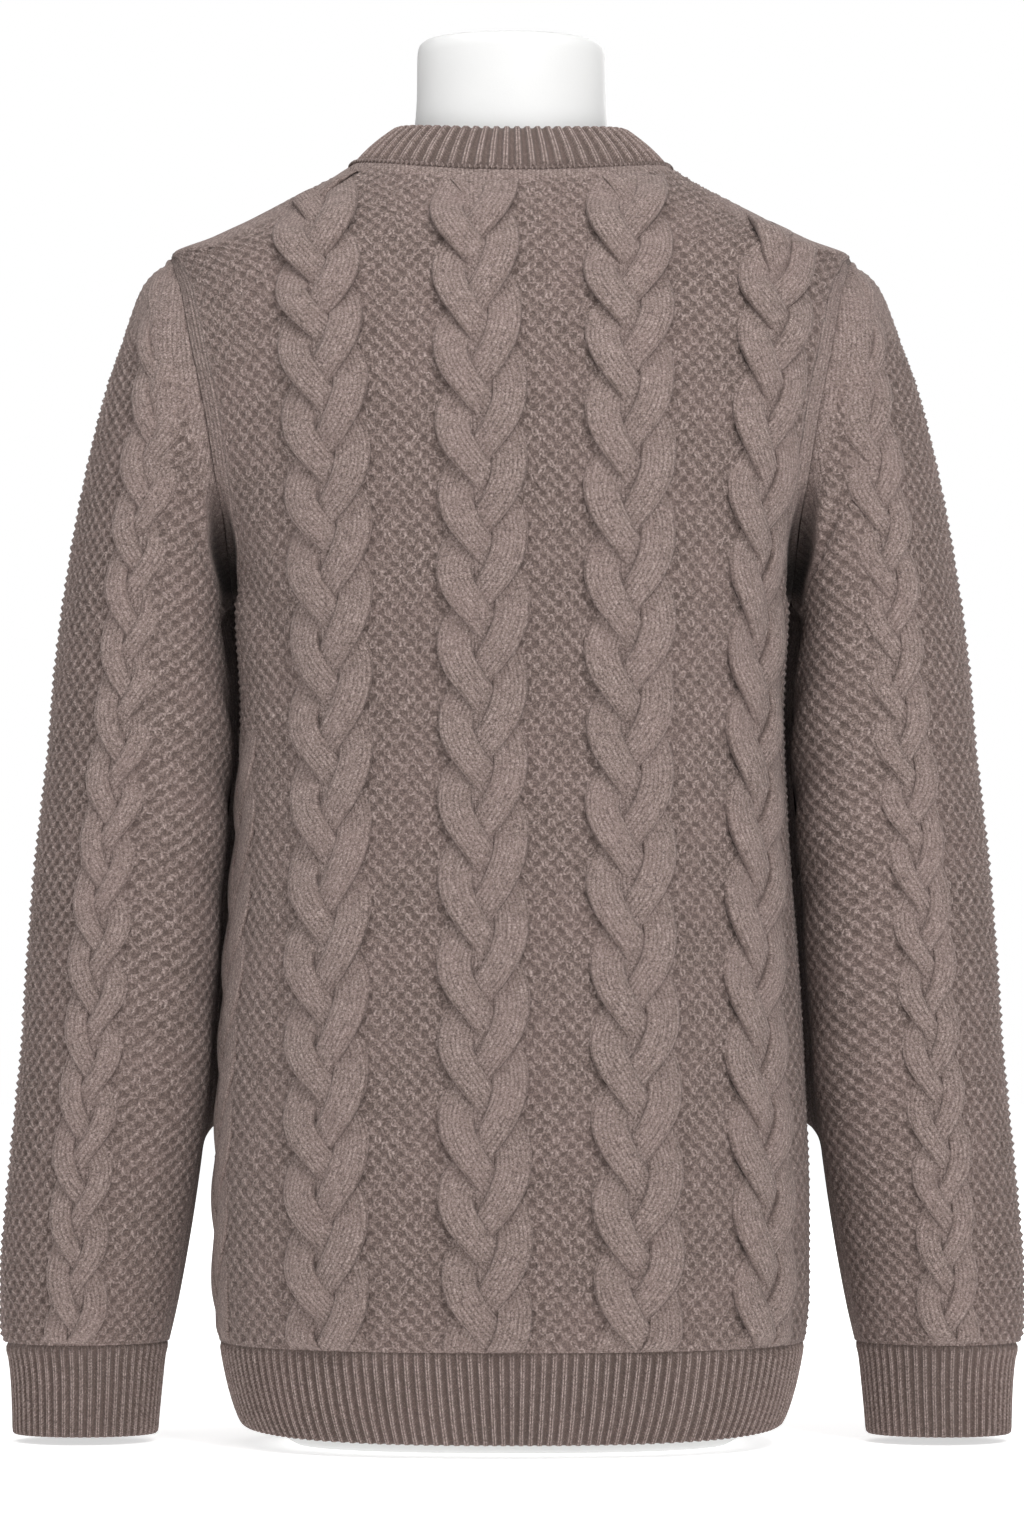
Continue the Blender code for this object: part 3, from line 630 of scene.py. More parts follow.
def wale_reach(surface):
    """Half the width over which a panel's wales spread: past the armhole they run straight up, and
    from its narrowest level they follow its edge."""
    heights = np.linspace(UNDERARM_Z, SHOULDER_Z, 400)
    reach = surface.reach_at(heights, 1)
    narrowest = float(heights[np.argmin(reach)])
    full, least = float(surface.reach_at(BELOW_ARMHOLE_Z, 1)), float(reach.min())

    def at(height):
        above = surface.reach_at(np.clip(height, narrowest, SHOULDER_Z), 1) * full / least
        return np.where(height < BELOW_ARMHOLE_Z, surface.reach_at(height, 1), above)

    return at, least / full


# ---------------------------------------------------------------- soft creases

# arc from the reference wale, height, turn from upright in degrees, half length, half width, and
# depth (a ridge if below zero)
PANEL_CREASES = (
    (0.150, 0.452, 38, 0.050, 0.011, 0.0030),
    (0.128, 0.425, 50, 0.036, 0.012, 0.0018),
    (-0.152, 0.455, -36, 0.052, 0.012, 0.0028),
    (-0.132, 0.420, -46, 0.034, 0.010, 0.0016),
    (0.165, 0.300, 8, 0.060, 0.016, 0.0016),
    (-0.168, 0.235, -6, 0.070, 0.018, 0.0018),
    (0.060, 0.175, 12, 0.070, 0.030, 0.0012),
    (-0.040, 0.250, -10, 0.080, 0.034, -0.0012),
)
SLEEVE_HUG = 0.0150  # how far the sleeve's inner front settles towards the body's curved side
SLEEVE_CREASES = (
    (0.062, 0.400, -52, 0.034, 0.009, 0.0032),
    (0.066, 0.352, -64, 0.036, 0.010, 0.0026),
    (0.058, 0.300, -58, 0.034, 0.012, 0.0022),
    (0.066, 0.235, -30, 0.040, 0.012, 0.0018),
    (-0.215, 0.395, 58, 0.040, 0.010, 0.0028),
    (-0.205, 0.338, 66, 0.042, 0.011, 0.0024),
    (-0.120, 0.360, 72, 0.050, 0.014, 0.0016),
    (-0.050, 0.470, 12, 0.070, 0.016, 0.0018),
    (-0.150, 0.170, 20, 0.060, 0.018, 0.0018),
)

ARMHOLE_CREST = 0.0070  # how far the cloth along the upper armhole stands out
# How far the cloth beside an armhole and below it settles outwards (inwards if below zero), by height
PANEL_SHIFT = (
    (0.060, 0.0), (0.100, -0.0012), (0.240, -0.0016), (0.300, -0.0026), (0.366, -0.0040),
    (0.420, -0.0050), (0.450, -0.0062), (0.480, -0.0070), (0.500, -0.0064), (0.520, -0.0060),
    (0.542, -0.0062), (0.590, -0.0042), (0.630, -0.0028), (0.655, -0.0010), (0.668, 0.0),
)
SLEEVE_SHIFT = (
    (0.300, 0.0), (0.366, -0.0044), (0.420, -0.0020), (0.452, 0.0018), (0.474, 0.0024), (0.490, -0.0010),
    (0.506, -0.0046), (0.522, -0.0060), (0.542, -0.0062), (0.590, -0.0042), (0.630, -0.0028),
    (0.655, -0.0010),
)
SEAM_SHIFT = (
    (0.440, -0.0014), (0.480, -0.0034), (0.506, -0.0054), (0.522, -0.0060), (0.542, -0.0062),
    (0.590, -0.0042), (0.630, -0.0028), (0.655, -0.0010), (0.668, 0.0),
)
DEEPEST_FOLD = 0.027  # over the underarm
PANEL_DECAY, SLEEVE_DECAY = 0.038, 0.022  # how far from the seam the settling reaches
PANEL_WALL, SLEEVE_WALL = 0.0080, 0.0036  # how far from the seam the fold's walls are
SLEEVE_TUCK = 0.0010  # how far the sleeve's edge goes under the panel's


def bell(distance, width):
    return np.exp(-((distance / width) ** 2))


def armhole_settle(points, to_seam, shift, decay, wall, tuck=0.0):
    """How the cloth beside an armhole lies off its plain form: the seam bows in towards the body and
    sinks into a deep fold over the underarm. Also the fold's depth there."""
    x, y, z = points[..., 0], points[..., 1], points[..., 2]
    up = np.clip((z - UNDERARM_Z) / (SHOULDER_Z - UNDERARM_Z), 0.0, 1.0)
    seam_depth = ARMHOLE_HALF_DEPTH * np.sqrt(np.maximum(0.0, 1 - (2 * up - 1) ** 2))
    fold = np.minimum(DEEPEST_FOLD, 0.8 * seam_depth) * smoothstep(0.514, 0.482, z)
    at_seam = bell(to_seam, 0.0022) * smoothstep(0.444, 0.452, z)
    beside = curves(shift)[0](z) * bell(to_seam, decay)
    dx = beside * (1 - at_seam) + curves(SEAM_SHIFT)[0](z) * at_seam
    crest = ARMHOLE_CREST * bell(to_seam, 0.028)
    crest = crest * smoothstep(0.490, 0.535, z) * smoothstep(0.632, 0.600, z)
    sunk = fold * np.exp(-((to_seam / wall) ** 4))
    under = tuck * bell(to_seam, 0.0008) * smoothstep(UNDERARM_Z, UNDERARM_Z + 0.006, z)
    under = under * (1 + 1.5 * smoothstep(0.615, 0.636, z))
    dy = (crest - sunk - 0.8 * under) * np.tanh(y / 0.008)
    return stacked((dx - under) * np.sign(x), dy, -0.4 * under), sunk


def armhole_distance(points):
    """How far points of the left sleeve are from the plane of its armhole, which leans outwards."""
    out, up = 0.9867, 0.1627  # the plane's unit normal, its height turned round
    return np.maximum(0.0, (points[..., 0] - UNDERARM_X) * out - (points[..., 2] - UNDERARM_Z) * up)


def squared_corner(normals, points, to_seam):
    """The sleeve's inner corner at the back stands out, so that its edge beside the body is crisp."""
    inward = np.maximum(0.0, -normals[..., 0] * np.sign(points[..., 0]))
    turn = (2 * inward * np.maximum(0.0, normals[..., 1])) ** 1.2
    z = points[..., 2]
    window = smoothstep(0.10, 0.22, z) * smoothstep(0.550, 0.490, z)
    return 0.0105 * turn * window * np.where(z > UNDERARM_Z, smoothstep(0.0, 0.008, to_seam), 1.0)


def hug(points, normals):
    """How far a sleeve's cloth leans in towards the body, behind its side."""
    z = points[..., 2]
    height = smoothstep(0.156, 0.180, z) * smoothstep(0.466, 0.452, z)
    inner = smoothstep(-0.05, -0.55, normals[..., 0] * np.sign(points[..., 0]))
    around = bell(points[..., 1] + 0.036, 0.018)
    return SLEEVE_HUG * height * inner * around


def crease_depth(creases, arc, height):
    depth = np.zeros(np.broadcast(arc, height).shape)
    for at_arc, at_height, turn, length, width, deep in creases:
        c, s = math.cos(math.radians(turn)), math.sin(math.radians(turn))
        along = (arc - at_arc) * s + (height - at_height) * c
        across = (arc - at_arc) * c - (height - at_height) * s
        depth += deep * np.exp(-((along / length) ** 2) * 1.6 - (across / width) ** 2)
    return depth


# ---------------------------------------------------------------- the ground of moss stitches


def moss(i, j):
    """Height from -1 to 1 of the checkerboard of stitches, each a little different from the next."""
    p, q = np.floor((i + j) / 2 + 0.5), np.floor((i - j) / 2 + 0.5)
    pattern = np.cos(math.pi * i) * np.cos(math.pi * j)
    uneven = 0.78 + 0.44 * random_of(p, q, 3)
    return np.where(pattern > 0, pattern * uneven, pattern)


def wale_positions(low, high, cables, bands, inner=()):
    """Where the mesh has its columns: half a cell apart, wider under a cable, closer in the bands
    at the edges and inside the positions in inner."""
    step = CELL / 2
    first, last = math.ceil((low + bands[0]) / step), math.floor((high - bands[1]) / step)
    kept = [
        k * step
        for k in range(first, last + 1)
        if k % 3 == 0 or all(abs(k * step - cable) > 0.009 for cable in cables)
    ]
    strips = [(low, bands[0]), (high, -bands[1])]
    strips += [(edge, -math.copysign(EDGE_BAND, edge)) for edge in inner]
    for edge, width in strips:
        fine = edge + width * np.arange(17) / 16
        kept = [w for w in kept if not fine.min() - 0.0006 < w < fine.max() + 0.0006] + list(fine)
    return np.array(sorted(kept))


def cloth_grid(points, normals, wales, i, j, relief, ground, sunk, heights, along, last):
    """The grid of a panel or a sleeve."""
    # painted shadow at the bottom of the underarm fold, carried above 1 in the plainness attribute
    deep = smoothstep(0.004, 0.020, sunk) * smoothstep(0.506, 0.462, heights)
    spread = (wales - wales[0]) / (wales[-1] - wales[0])
    uv = stacked(spread, along / along.max())
    # The stitch attribute's third number, the moss's height, makes sunk stitches darker in the material:
    # painted shade.
    return Grid(points, normals, uv, stacked(i, j, 0.5 + 0.5 * relief), 1 - ground + deep, last)


def panel_cloth(name, side, surface, cables, material, rows_per_cell):
    """The ground of the front or back. Its wales bend a little so that they run along the cables."""
    spread_of, left_at_armhole = wale_reach(surface)
    nominal = float(spread_of(LAYOUT_Z))
    order = sorted(cables, key=lambda cable: float(cable(LAYOUT_Z)))
    at_armhole = left_at_armhole * (1 - 1e-6)
    inner = [-nominal * at_armhole, nominal * at_armhole]
    middles = [float(cable(LAYOUT_Z)) for cable in order]
    knots = np.array([-nominal, inner[0]] + middles + [inner[1], nominal])
    wales = wale_positions(-nominal, nominal, middles, (EDGE_BAND, EDGE_BAND), inner)
    between = np.clip(np.searchsorted(knots, wales) - 1, 0, len(knots) - 2)
    part_way = (wales - knots[between]) / (knots[between + 1] - knots[between])

    def arcs_at(heights):
        """Heights as (rows, 1) or (rows, wales)."""
        heights = np.broadcast_to(heights, (len(heights), len(wales)))
        spread = spread_of(heights)
        edges = [-spread, -spread * at_armhole], [spread * at_armhole, spread]
        now = np.stack(edges[0] + [cable(heights) + 0 * heights for cable in order] + edges[1])
        k = np.broadcast_to(between, heights.shape)
        low = np.take_along_axis(now, k[None], axis=0)[0]
        high = np.take_along_axis(now, k[None] + 1, axis=0)[0]
        return low + (high - low) * part_way

    heights, along, last, tops = lay_wales(
        surface,
        HEM_SEAM_Z + SEAM_GAP / 2,
        lambda fine: arcs_at(fine[:, None]),
        panel_excess(surface, side),
        CELL / rows_per_cell,
    )
    arcs = arcs_at(heights)
    points, normals = surface.at(arcs, heights)

    i = np.broadcast_to(wales / CELL, heights.shape)
    j = along / CELL
    to_top = tops[None, :] - along
    from_middle, facing_out = np.abs(points[..., 0]), np.abs(normals[..., 1])
    at_neck = from_middle < NECK_HALF_WIDTH - 0.001
    outer_end = SHOULDER_BAND + 0.018 * smoothstep(0.095, 0.145, from_middle)
    top_band = np.where(at_neck, NECK_BAND, outer_end)
    to_side = np.maximum(0.0, surface.reach_at(np.minimum(heights, SHOULDER_Z), 1) - np.abs(arcs))
    to_top = np.where(heights > SHOULDER_Z - 0.002, to_top, np.maximum(to_top, 0.02))
    ground = smoothstep(0.0, 0.0022, to_top - top_band) * smoothstep(0.0, 0.003, to_side - EDGE_BAND)
    ground = ground * smoothstep(-0.001, 0.002, along)
    on_shoulder = smoothstep(0.50, 0.42, facing_out) * smoothstep(0.095, 0.135, from_middle)
    ground = ground * (1 - on_shoulder * smoothstep(0.600, 0.625, heights))
    web = 0 * heights
    for cable in order:
        from_cable = arcs - cable(heights)
        ground = ground * smoothstep(0.009, 0.013, np.abs(from_cable))
        web = web + bell(from_cable, 0.0072)
    web = web * smoothstep(0.0, 0.012, along) * smoothstep(0.002, 0.016, to_top)
    web = web * smoothstep(0.15, 0.5, facing_out)
    in_band = smoothstep(EDGE_BAND + 0.001, EDGE_BAND - 0.001, to_side)
    ridge = -np.cos(2 * math.pi * to_side / EDGE_WALE) * in_band
    relief = moss(i, j) * ground
    lift = BUMP * relief + 0.00048 * ridge * smoothstep(0.0, 0.004, to_top) + 0.0026 * web
    strip = smoothstep(0.0016, 0.0004, np.abs(to_top - top_band))
    strip = strip * np.where(at_neck, 1.0, smoothstep(0.105, 0.140, from_middle))
    lift = lift + 0.0007 * smoothstep(0.001, 0.0, to_top - top_band) * at_neck - 0.0004 * strip
    lift = lift - 0.0002 * bell(to_side, 0.0012) - 0.0005 * bell(to_top, 0.0014)
    lift = lift - crease_depth(PANEL_CREASES, arcs * facing(side), heights)
    corner = smoothstep(0.160, 0.184, from_middle) * smoothstep(0.610, 0.636, heights)
    points = points + (lift + 0.0026 * corner)[..., None] * normals
    settle, sunk = armhole_settle(points, to_side, PANEL_SHIFT, PANEL_DECAY, PANEL_WALL)
    points = points + settle
    i = np.where(to_side < EDGE_BAND, to_side / EDGE_WALE * WALE / CELL, i)
    grid = cloth_grid(points, normals, wales, i, j, relief, ground, sunk, heights, along, last)
    return finish_grids(name, [grid], material)


def sleeve_cloth(name, surface, material, rows_per_cell):
    low = float(surface.reach_at(BELOW_ARMHOLE_Z, 0))
    high = float(surface.reach_at(BELOW_ARMHOLE_Z, 1))
    wales = wale_positions(-low, high, [0.0], (UNDERARM_BAND, UNDERARM_BAND))

    def scale(height, which):
        return surface.reach_at(np.minimum(height, BELOW_ARMHOLE_Z), which) / (low, high)[which]

    def arcs_at(heights):
        return np.where(wales < 0, wales * scale(heights, 0), wales * scale(heights, 1))

    heights, along, last, tops = lay_wales(
        surface,
        CUFF_SEAM_Z + SEAM_GAP,
        lambda fine: arcs_at(fine[:, None]),
        sleeve_excess(surface),
        CELL / rows_per_cell,
    )
    arcs = arcs_at(heights)
    points, normals = surface.at(arcs, heights)
    i = np.broadcast_to(wales / CELL, heights.shape)
    j = along / CELL
    to_top = tops[None, :] - along
    from_low = (wales + low)[None, :] + 0 * heights
    from_high = (high - wales)[None, :] + 0 * heights
    to_seam = np.minimum(from_low, from_high)
    from_armhole = armhole_distance(points)
    above = smoothstep(0.440, 0.470, heights)
    ground = smoothstep(0.0, 0.003, to_seam - UNDERARM_BAND) * smoothstep(0.0, 0.003, to_top - 0.007)
    ground = ground * np.maximum(1 - above, smoothstep(0.0, 0.002, from_armhole - 0.0065))
    ground = ground * (1 - 0.7 * smoothstep(0.575, 0.612, heights))
    ground = ground * smoothstep(0.006, 0.009, np.abs(arcs)) * smoothstep(-0.001, 0.002, along)
    relief = moss(i, j) * ground
    lift = BUMP * relief * (1 + 0.7 * np.maximum(0.0, normals[..., 0]))
    in_band = smoothstep(UNDERARM_BAND + 0.001, UNDERARM_BAND - 0.001, to_seam)
    ridge = np.cos(2 * math.pi * to_seam / (2 * WALE)) * in_band
    lift = lift + 0.00025 * ridge * smoothstep(0.0, 0.004, to_top)
    lift = lift - 0.0002 * bell(to_top, 0.0012) + 0.0010 * bell(to_top - 0.007, 0.004)
    lift = lift - 0.0009 * above * bell(from_armhole - 0.0066, 0.0012)
    web = bell(arcs, 0.0055) * smoothstep(0.0, 0.012, along)
    lift = lift + 0.0020 * web * (0.3 + 0.7 * smoothstep(0.0, 0.085, to_top))
    lift = lift - 0.0009 * bell(to_seam, 0.0014)
    lift = lift - crease_depth(SLEEVE_CREASES, arcs, heights)
    outer = np.maximum(0.0, normals[..., 0])
    at_cap = smoothstep(0.588, 0.622, heights) * smoothstep(-0.010, 0.006, from_armhole)
    lift = lift + 0.0032 * outer * at_cap
    towards = hug(points, normals)
    lift = lift + squared_corner(normals, points, from_armhole)
    points = points + lift[..., None] * normals
    settle, sunk = armhole_settle(points, from_armhole, SLEEVE_SHIFT, SLEEVE_DECAY, SLEEVE_WALL, SLEEVE_TUCK)
    points = points + settle
    points[..., 0] -= towards
    grid = cloth_grid(points, normals, wales, i, j, relief, ground, sunk, heights, along, last)
    return finish_grids(name, [grid], material)


# ---------------------------------------------------------------- cables

# across one strand: share of its half width, height as a share of the dome, drop below the dome's foot
STRAND_PROFILE = (
    (-0.86, 0.0, -0.0034),
    (-0.955, 0.0, -0.0021),
    (-1.0, 0.0, -0.0008),
    (-0.985, 0.25, 0.0),
    (-0.92, 0.55, 0.0),
    (-0.79, 0.79, 0.0),
    (-0.59, 0.92, 0.0),
    (-0.31, 0.985, 0.0),
    (0.0, 1.0, 0.0),
)


def plait_phase(crossings, slow_top):
    """The plait's angle in degrees by length: 120 from one crossing to the next, and slower above the
    first, where the strands run straighter."""
    angles = FIRST_CROSSING + 120.0 * np.arange(len(crossings))
    pitch_top, pitch_low = crossings[0] - crossings[1], crossings[-2] - crossings[-1]
    top, low = crossings[0] + slow_top * 4 * pitch_top, crossings[-1] - 4 * pitch_low
    rows = np.concatenate([[top], crossings, [low]])
    angles = np.concatenate([[angles[0] - 480.0], angles, [angles[-1] + 480.0]])
    return smooth_curve(rows[::-1], angles[::-1])


def cable_grids(
    surface, centre_arc, base, top_height, phase_rows, excess, margin_of, shape, creases, seed,
    taper=0.0, step=0.0028,
):
    """The three strands of one plaited cable, each a domed ribbon with edges that roll under. taper is
    the share of its width that a sleeve's cable loses towards its top; a panel's loses none."""
    fine = np.linspace(base, top_height, 700)
    length = lengths_along(surface.at(centre_arc(fine), fine)[0])
    crossings = np.interp(phase_rows, fine, length) + phase_rows - np.clip(phase_rows, fine[0], fine[-1])
    phase = plait_phase(crossings, 1.0 if taper else 2.4)
    profile = np.array(STRAND_PROFILE)
    profile = np.concatenate([profile, profile[-2::-1] * MIRROR_X])
    side, dome, drop = profile.T
    across = np.concatenate([[0.0], np.cumsum(np.abs(np.diff(side)))])
    grids = []
    total = length[-1]
    at = np.arange(-0.012, total + 0.012, step)
    narrowing = 1 - taper * smoothstep(total - 0.130, total - 0.050, at)
    for strand in range(3):
        angle = np.radians(phase(at) + 120.0 * strand)
        angle = angle - RIGHT_STRAND_LAG * (1 + np.cos(angle))
        rate = np.gradient(angle, at)
        swing = shape["swing"] * (1 + 0.04 * np.sin(at * 61 + seed + strand)) * narrowing
        sideways = swing * np.sin(angle)
        slope = swing * np.cos(angle) * rate
        norm = np.sqrt(1 + slope**2)
        width = 1 - 0.10 * np.cos(2 * angle) + 0.17 * np.maximum(0.0, np.sin(2 * angle))
        width = shape["half_width"] * width * (1 + 0.03 * np.sin(at * 83 + strand * 2.1)) * narrowing
        if not taper:
            width = width * (1 + 0.22 * smoothstep(total - 0.030, total - 0.008, at))
        arc = sideways[:, None] + side * width[:, None] / norm[:, None]
        along = at[:, None] - side * (width * slope / norm)[:, None]
        rise = shape["foot"] - shape["rise"] * np.sin(2 * angle)
        lift = rise[:, None] + shape["dome"] * dome + drop

        def arc_and_height(along, arc=arc):
            height = np.interp(along, length, fine)
            return centre_arc(height) + arc, height

        # the last length along each line of the strand that is still inside the cloth, by halving
        limit_low, limit_high = np.zeros(along.shape), np.full(along.shape, total)
        for _ in range(14):
            middle = (limit_low + limit_high) / 2
            a, h = arc_and_height(middle)
            outside = excess(a, h) + margin_of(surface.at(a, h)[0]) > 0
            limit_high = np.where(outside, middle, limit_high)
            limit_low = np.where(outside, limit_low, middle)
        cut = (along > limit_low) | (along < 0.0)
        clamped = np.clip(along, 0.0, limit_low)
        a, h = arc_and_height(clamped)
        surface_points, normals = surface.at(a, h)
        at_end, on_top = shape["at_end"], shape["on_top"]
        rising = at_end + (1 - at_end) * smoothstep(0.0, shape["fade"], limit_low - clamped)
        rising = rising * (on_top + (1 - on_top) * smoothstep(0.25, 0.62, np.abs(normals[..., 1])))
        lift = lift * rising
        if at_end == 0.0:
            lift = lift - 0.0018 * (1 - rising)
        lift = np.where(cut, -0.0008, lift)
        to_base = smoothstep(-0.004, 0.009, clamped)
        lift = lift * to_base - 0.0006 * (1 - to_base)
        lift = lift - crease_depth(creases, a, h)
        strand_points = surface_points + lift[..., None] * normals
        if taper:
            to_seam = armhole_distance(strand_points)
            settle, _ = armhole_settle(strand_points, to_seam, SLEEVE_SHIFT, SLEEVE_DECAY, SLEEVE_WALL)
            settle = 0.3 * settle
        else:
            to_side = np.maximum(0.0, surface.reach_at(np.minimum(h, SHOULDER_Z), 1) - np.abs(a))
            settle, _ = armhole_settle(strand_points, to_side, PANEL_SHIFT, PANEL_DECAY, PANEL_WALL)
        distance = np.cumsum(np.concatenate([[0.0], np.hypot(np.diff(at), np.diff(sideways))]))
        u, v = side * width[:, None] / WALE, distance[:, None] / COURSE
        # The third number, the dome's share across the strand, makes the material darker towards the strand's
        # edges, where it rolls under: painted shade.
        stitch = stacked(u, v + 37 * strand, dome)
        uv = stacked(across / across[-1], ((at - at[0]) / (at[-1] - at[0]))[:, None])
        whole = ~cut.all(axis=1)
        kept = whole.copy()
        kept[:-1] |= whole[1:]
        kept[1:] |= whole[:-1]
        values = (strand_points + settle, normals, uv, stitch, np.ones(u.shape))
        grids.append(Grid(*(value[kept] for value in values)))
    return grids


# ---------------------------------------------------------------- ribs

# one rib and the channel beside it: share of the pitch, height from -1 to 1
RIB_PROFILE = (
    (0.00, -1.00), (0.15, -0.86), (0.255, 0.25), (0.34, 0.92), (0.42, 0.98), (0.50, 0.66),
    (0.58, 0.98), (0.66, 0.92), (0.745, 0.25), (0.85, -0.86),
)


def rib_columns(count):
    """Positions in ribs, and the height there."""
    shares = np.array([k + share for k in range(count) for share, _ in RIB_PROFILE] + [float(count)])
    heights = np.array([height for _ in range(count) for _, height in RIB_PROFILE] + [RIB_PROFILE[0][1]])
    return shares, heights


def as_columns(rows):
    return [np.array(column)[:, None] for column in zip(*rows)]


def rib_piece(name, points, normals, lift, shares, relief, amount, along, material):
    """A ribbed piece. amount is each row's share of the ribs' relief, and along is its place."""
    lengths = np.concatenate([[0.0], np.cumsum(np.abs(np.diff(along[:, 0])))])[:, None]
    # The third number, the ribs' height, makes the channels between ribs darker in the material: painted
    # shade.
    stitch = stacked(shares, lengths / COURSE, 0.5 + 0.5 * relief * amount)
    uv = stacked(shares / shares[-1], lengths / lengths[-1])
    grid = Grid(points + lift[..., None] * normals, normals, uv, stitch, np.zeros(lift.shape))
    return finish_grids(name, [grid], material)


def hem_rib(name, surface, material):
    shares, relief = rib_columns(HEM_RIBS)
    across = 2 * shares / HEM_RIBS - 1
    # height, how far inwards, share of the relief
    rows = (
        (HEM_SEAM_Z - SEAM_GAP / 2, 0.0014, 0.10), (0.0543, 0.0004, 0.45), (0.0518, 0.0, 0.9),
        (0.0480, 0.0, 1.0), (0.0420, 0.0, 1.0), (0.0350, 0.0, 1.0), (0.0280, 0.0, 1.0), (0.0210, 0.0, 1.0),
        (0.0150, 0.0, 1.0), (0.0100, 0.0, 1.0), (0.0074, 0.0002, 0.95), (0.0062, 0.0010, 0.8),
        (0.0060, 0.0020, 0.5), (0.0072, 0.0028, 0.2), (0.0150, 0.0029, 0.0),
    )
    along, inward, amount = as_columns(rows)
    heights = along + 0.0056 * np.abs(across) ** 3 * smoothstep(0.045, 0.008, along)
    wave = 0.0011 * np.sin(shares * 0.21 + 1.3) + 0.0007 * np.sin(shares * 0.53)
    lean = wave * (HEM_SEAM_Z - heights) / HEM_SEAM_Z
    arcs = across * surface.reach_at(heights, 1) + lean * (1 - across**8)
    points, normals = surface.at(arcs, heights)
    uneven = 1 + 0.12 * (random_of(np.floor(shares), 0, 5) - 0.5)
    lift = 0.00095 * relief * amount * uneven - 0.0002 - inward
    lift = lift - 0.0008 * bell((1 - np.abs(across)) * 0.22, 0.0014)
    points[0, :, 2] += 0.0013
    return rib_piece(name, points, normals, lift, shares, relief, amount, along, material)


def cuff(name, material):
    """The left cuff."""
    _, both = sleeve_rings(CUFF)
    shares, relief = rib_columns(CUFF_RIBS)
    angles = 2 * math.pi * shares / CUFF_RIBS + math.pi
    # ring, how far inwards, share of the relief
    rows = (
        (0.02, 0.0014, 0.1), (0.10, 0.0004, 0.5), (0.45, 0.0, 0.95), (1.0, 0.0, 1.0), (1.5, 0.0, 1.0),
        (2.0, 0.0, 1.0), (2.4, 0.0, 1.0), (2.8, 0.0, 1.0), (3.2, 0.0, 1.0), (3.6, 0.0, 1.0),
        (3.86, 0.0002, 0.95), (3.98, 0.0010, 0.8), (4.0, 0.0020, 0.5), (3.90, 0.0028, 0.2),
        (3.0, 0.0029, 0.0),
    )
    ring, inward, amount = as_columns(rows)
    value = both(angles + 0 * ring, ring + 0 * angles)
    points, normals = value[..., :3], value[..., 3:]
    uneven = 1 + 0.14 * (random_of(np.floor(shares), 1, 6) - 0.5)
    lift = 0.0008 * relief * amount * uneven - 0.0002 - inward
    points[0, :, 2] += 0.0014
    ring_pitch = 0.0125  # how far one of the table's rings is from the next, about
    return rib_piece(name, points, normals, lift, shares, relief, amount, ring * ring_pitch, material)


def neckline_loop(samples):
    """The neckline all round in equal steps, from the centre front over the wearer's left shoulder:
    points and the body's normals there."""
    angles = np.linspace(0.0, math.pi / 2, 600)
    x = NECK_HALF_WIDTH * np.sin(angles)
    drops = {"back": BACK_NECK_DROP * np.cos(angles) ** 2, "front": FRONT_NECK_DROP * np.cos(angles)}
    halves = []
    for side in SIDES:
        height = NECK_POINT_Z - drops[side]
        reach, depth, power = section(height, side)
        y = depth * np.maximum(0.0, 1 - (x / reach) ** power) ** (1 / power) * facing(side)
        points = stacked(x, y, height)
        halves.append(np.concatenate([points, body_normal(points, side)], axis=1))
    back, front = halves
    half = np.concatenate([front, back[-2::-1]])
    loop = np.concatenate([half, half[-2::-1] * np.tile(MIRROR_X, 2)])
    length = lengths_along(loop[:, :3])
    loop = stacked(*(np.interp(samples * length[-1], length, column) for column in loop.T))
    return loop[:, :3], unit(loop[:, 3:])


def neckband_frame(base):
    """The way the band rises from the neckline, and its outward normal."""
    away = unit(base[:, :2] - np.array([0.0, NECK_AXIS_Y]))
    lean = NECKBAND_LEAN_SIDE + (NECKBAND_LEAN_MIDDLE - NECKBAND_LEAN_SIDE) * away[:, 1] ** 2
    level_part, upright_part = np.cos(lean)[:, None], np.sin(lean)[:, None]
    rise = np.concatenate([-away * level_part, upright_part], axis=1)
    return rise, np.concatenate([away * upright_part, level_part], axis=1)


def neckband(name, material):
    shares, relief = rib_columns(NECK_RIBS)
    base, seam_normal = neckline_loop(shares / NECK_RIBS)
    rise, band_normal = neckband_frame(base)
    # share of the width, how far inwards, share of the relief
    rows = (
        (-0.055, 0.0020, 0.1), (0.02, 0.0004, 0.5), (0.08, 0.0, 0.9), (0.2, 0.0, 1.0), (0.35, 0.0, 1.0),
        (0.5, 0.0, 1.0), (0.65, 0.0, 1.0), (0.8, 0.0, 1.0), (0.9, 0.0001, 1.0), (0.955, 0.0005, 0.95),
        (0.99, 0.0013, 0.8), (1.0, 0.0023, 0.45), (0.98, 0.0031, 0.2), (0.90, 0.0034, 0.1),
        (0.55, 0.0034, 0.0),
    )
    level, inward, amount = as_columns(rows)
    on_band = np.clip(level, 0.0, 1.0)
    toward = (1 - (1 - on_band) ** 3)[..., None]
    normals = unit((1 - toward) * seam_normal + toward * band_normal)
    points = base + (NECKBAND_GAP + level * NECKBAND_WIDTH)[..., None] * rise
    lift = 0.0011 * relief * amount + 0.0012 * np.sin(math.pi * on_band) - 0.0002 - inward
    return rib_piece(name, points, normals, lift, shares, relief, amount, level * NECKBAND_WIDTH, material)


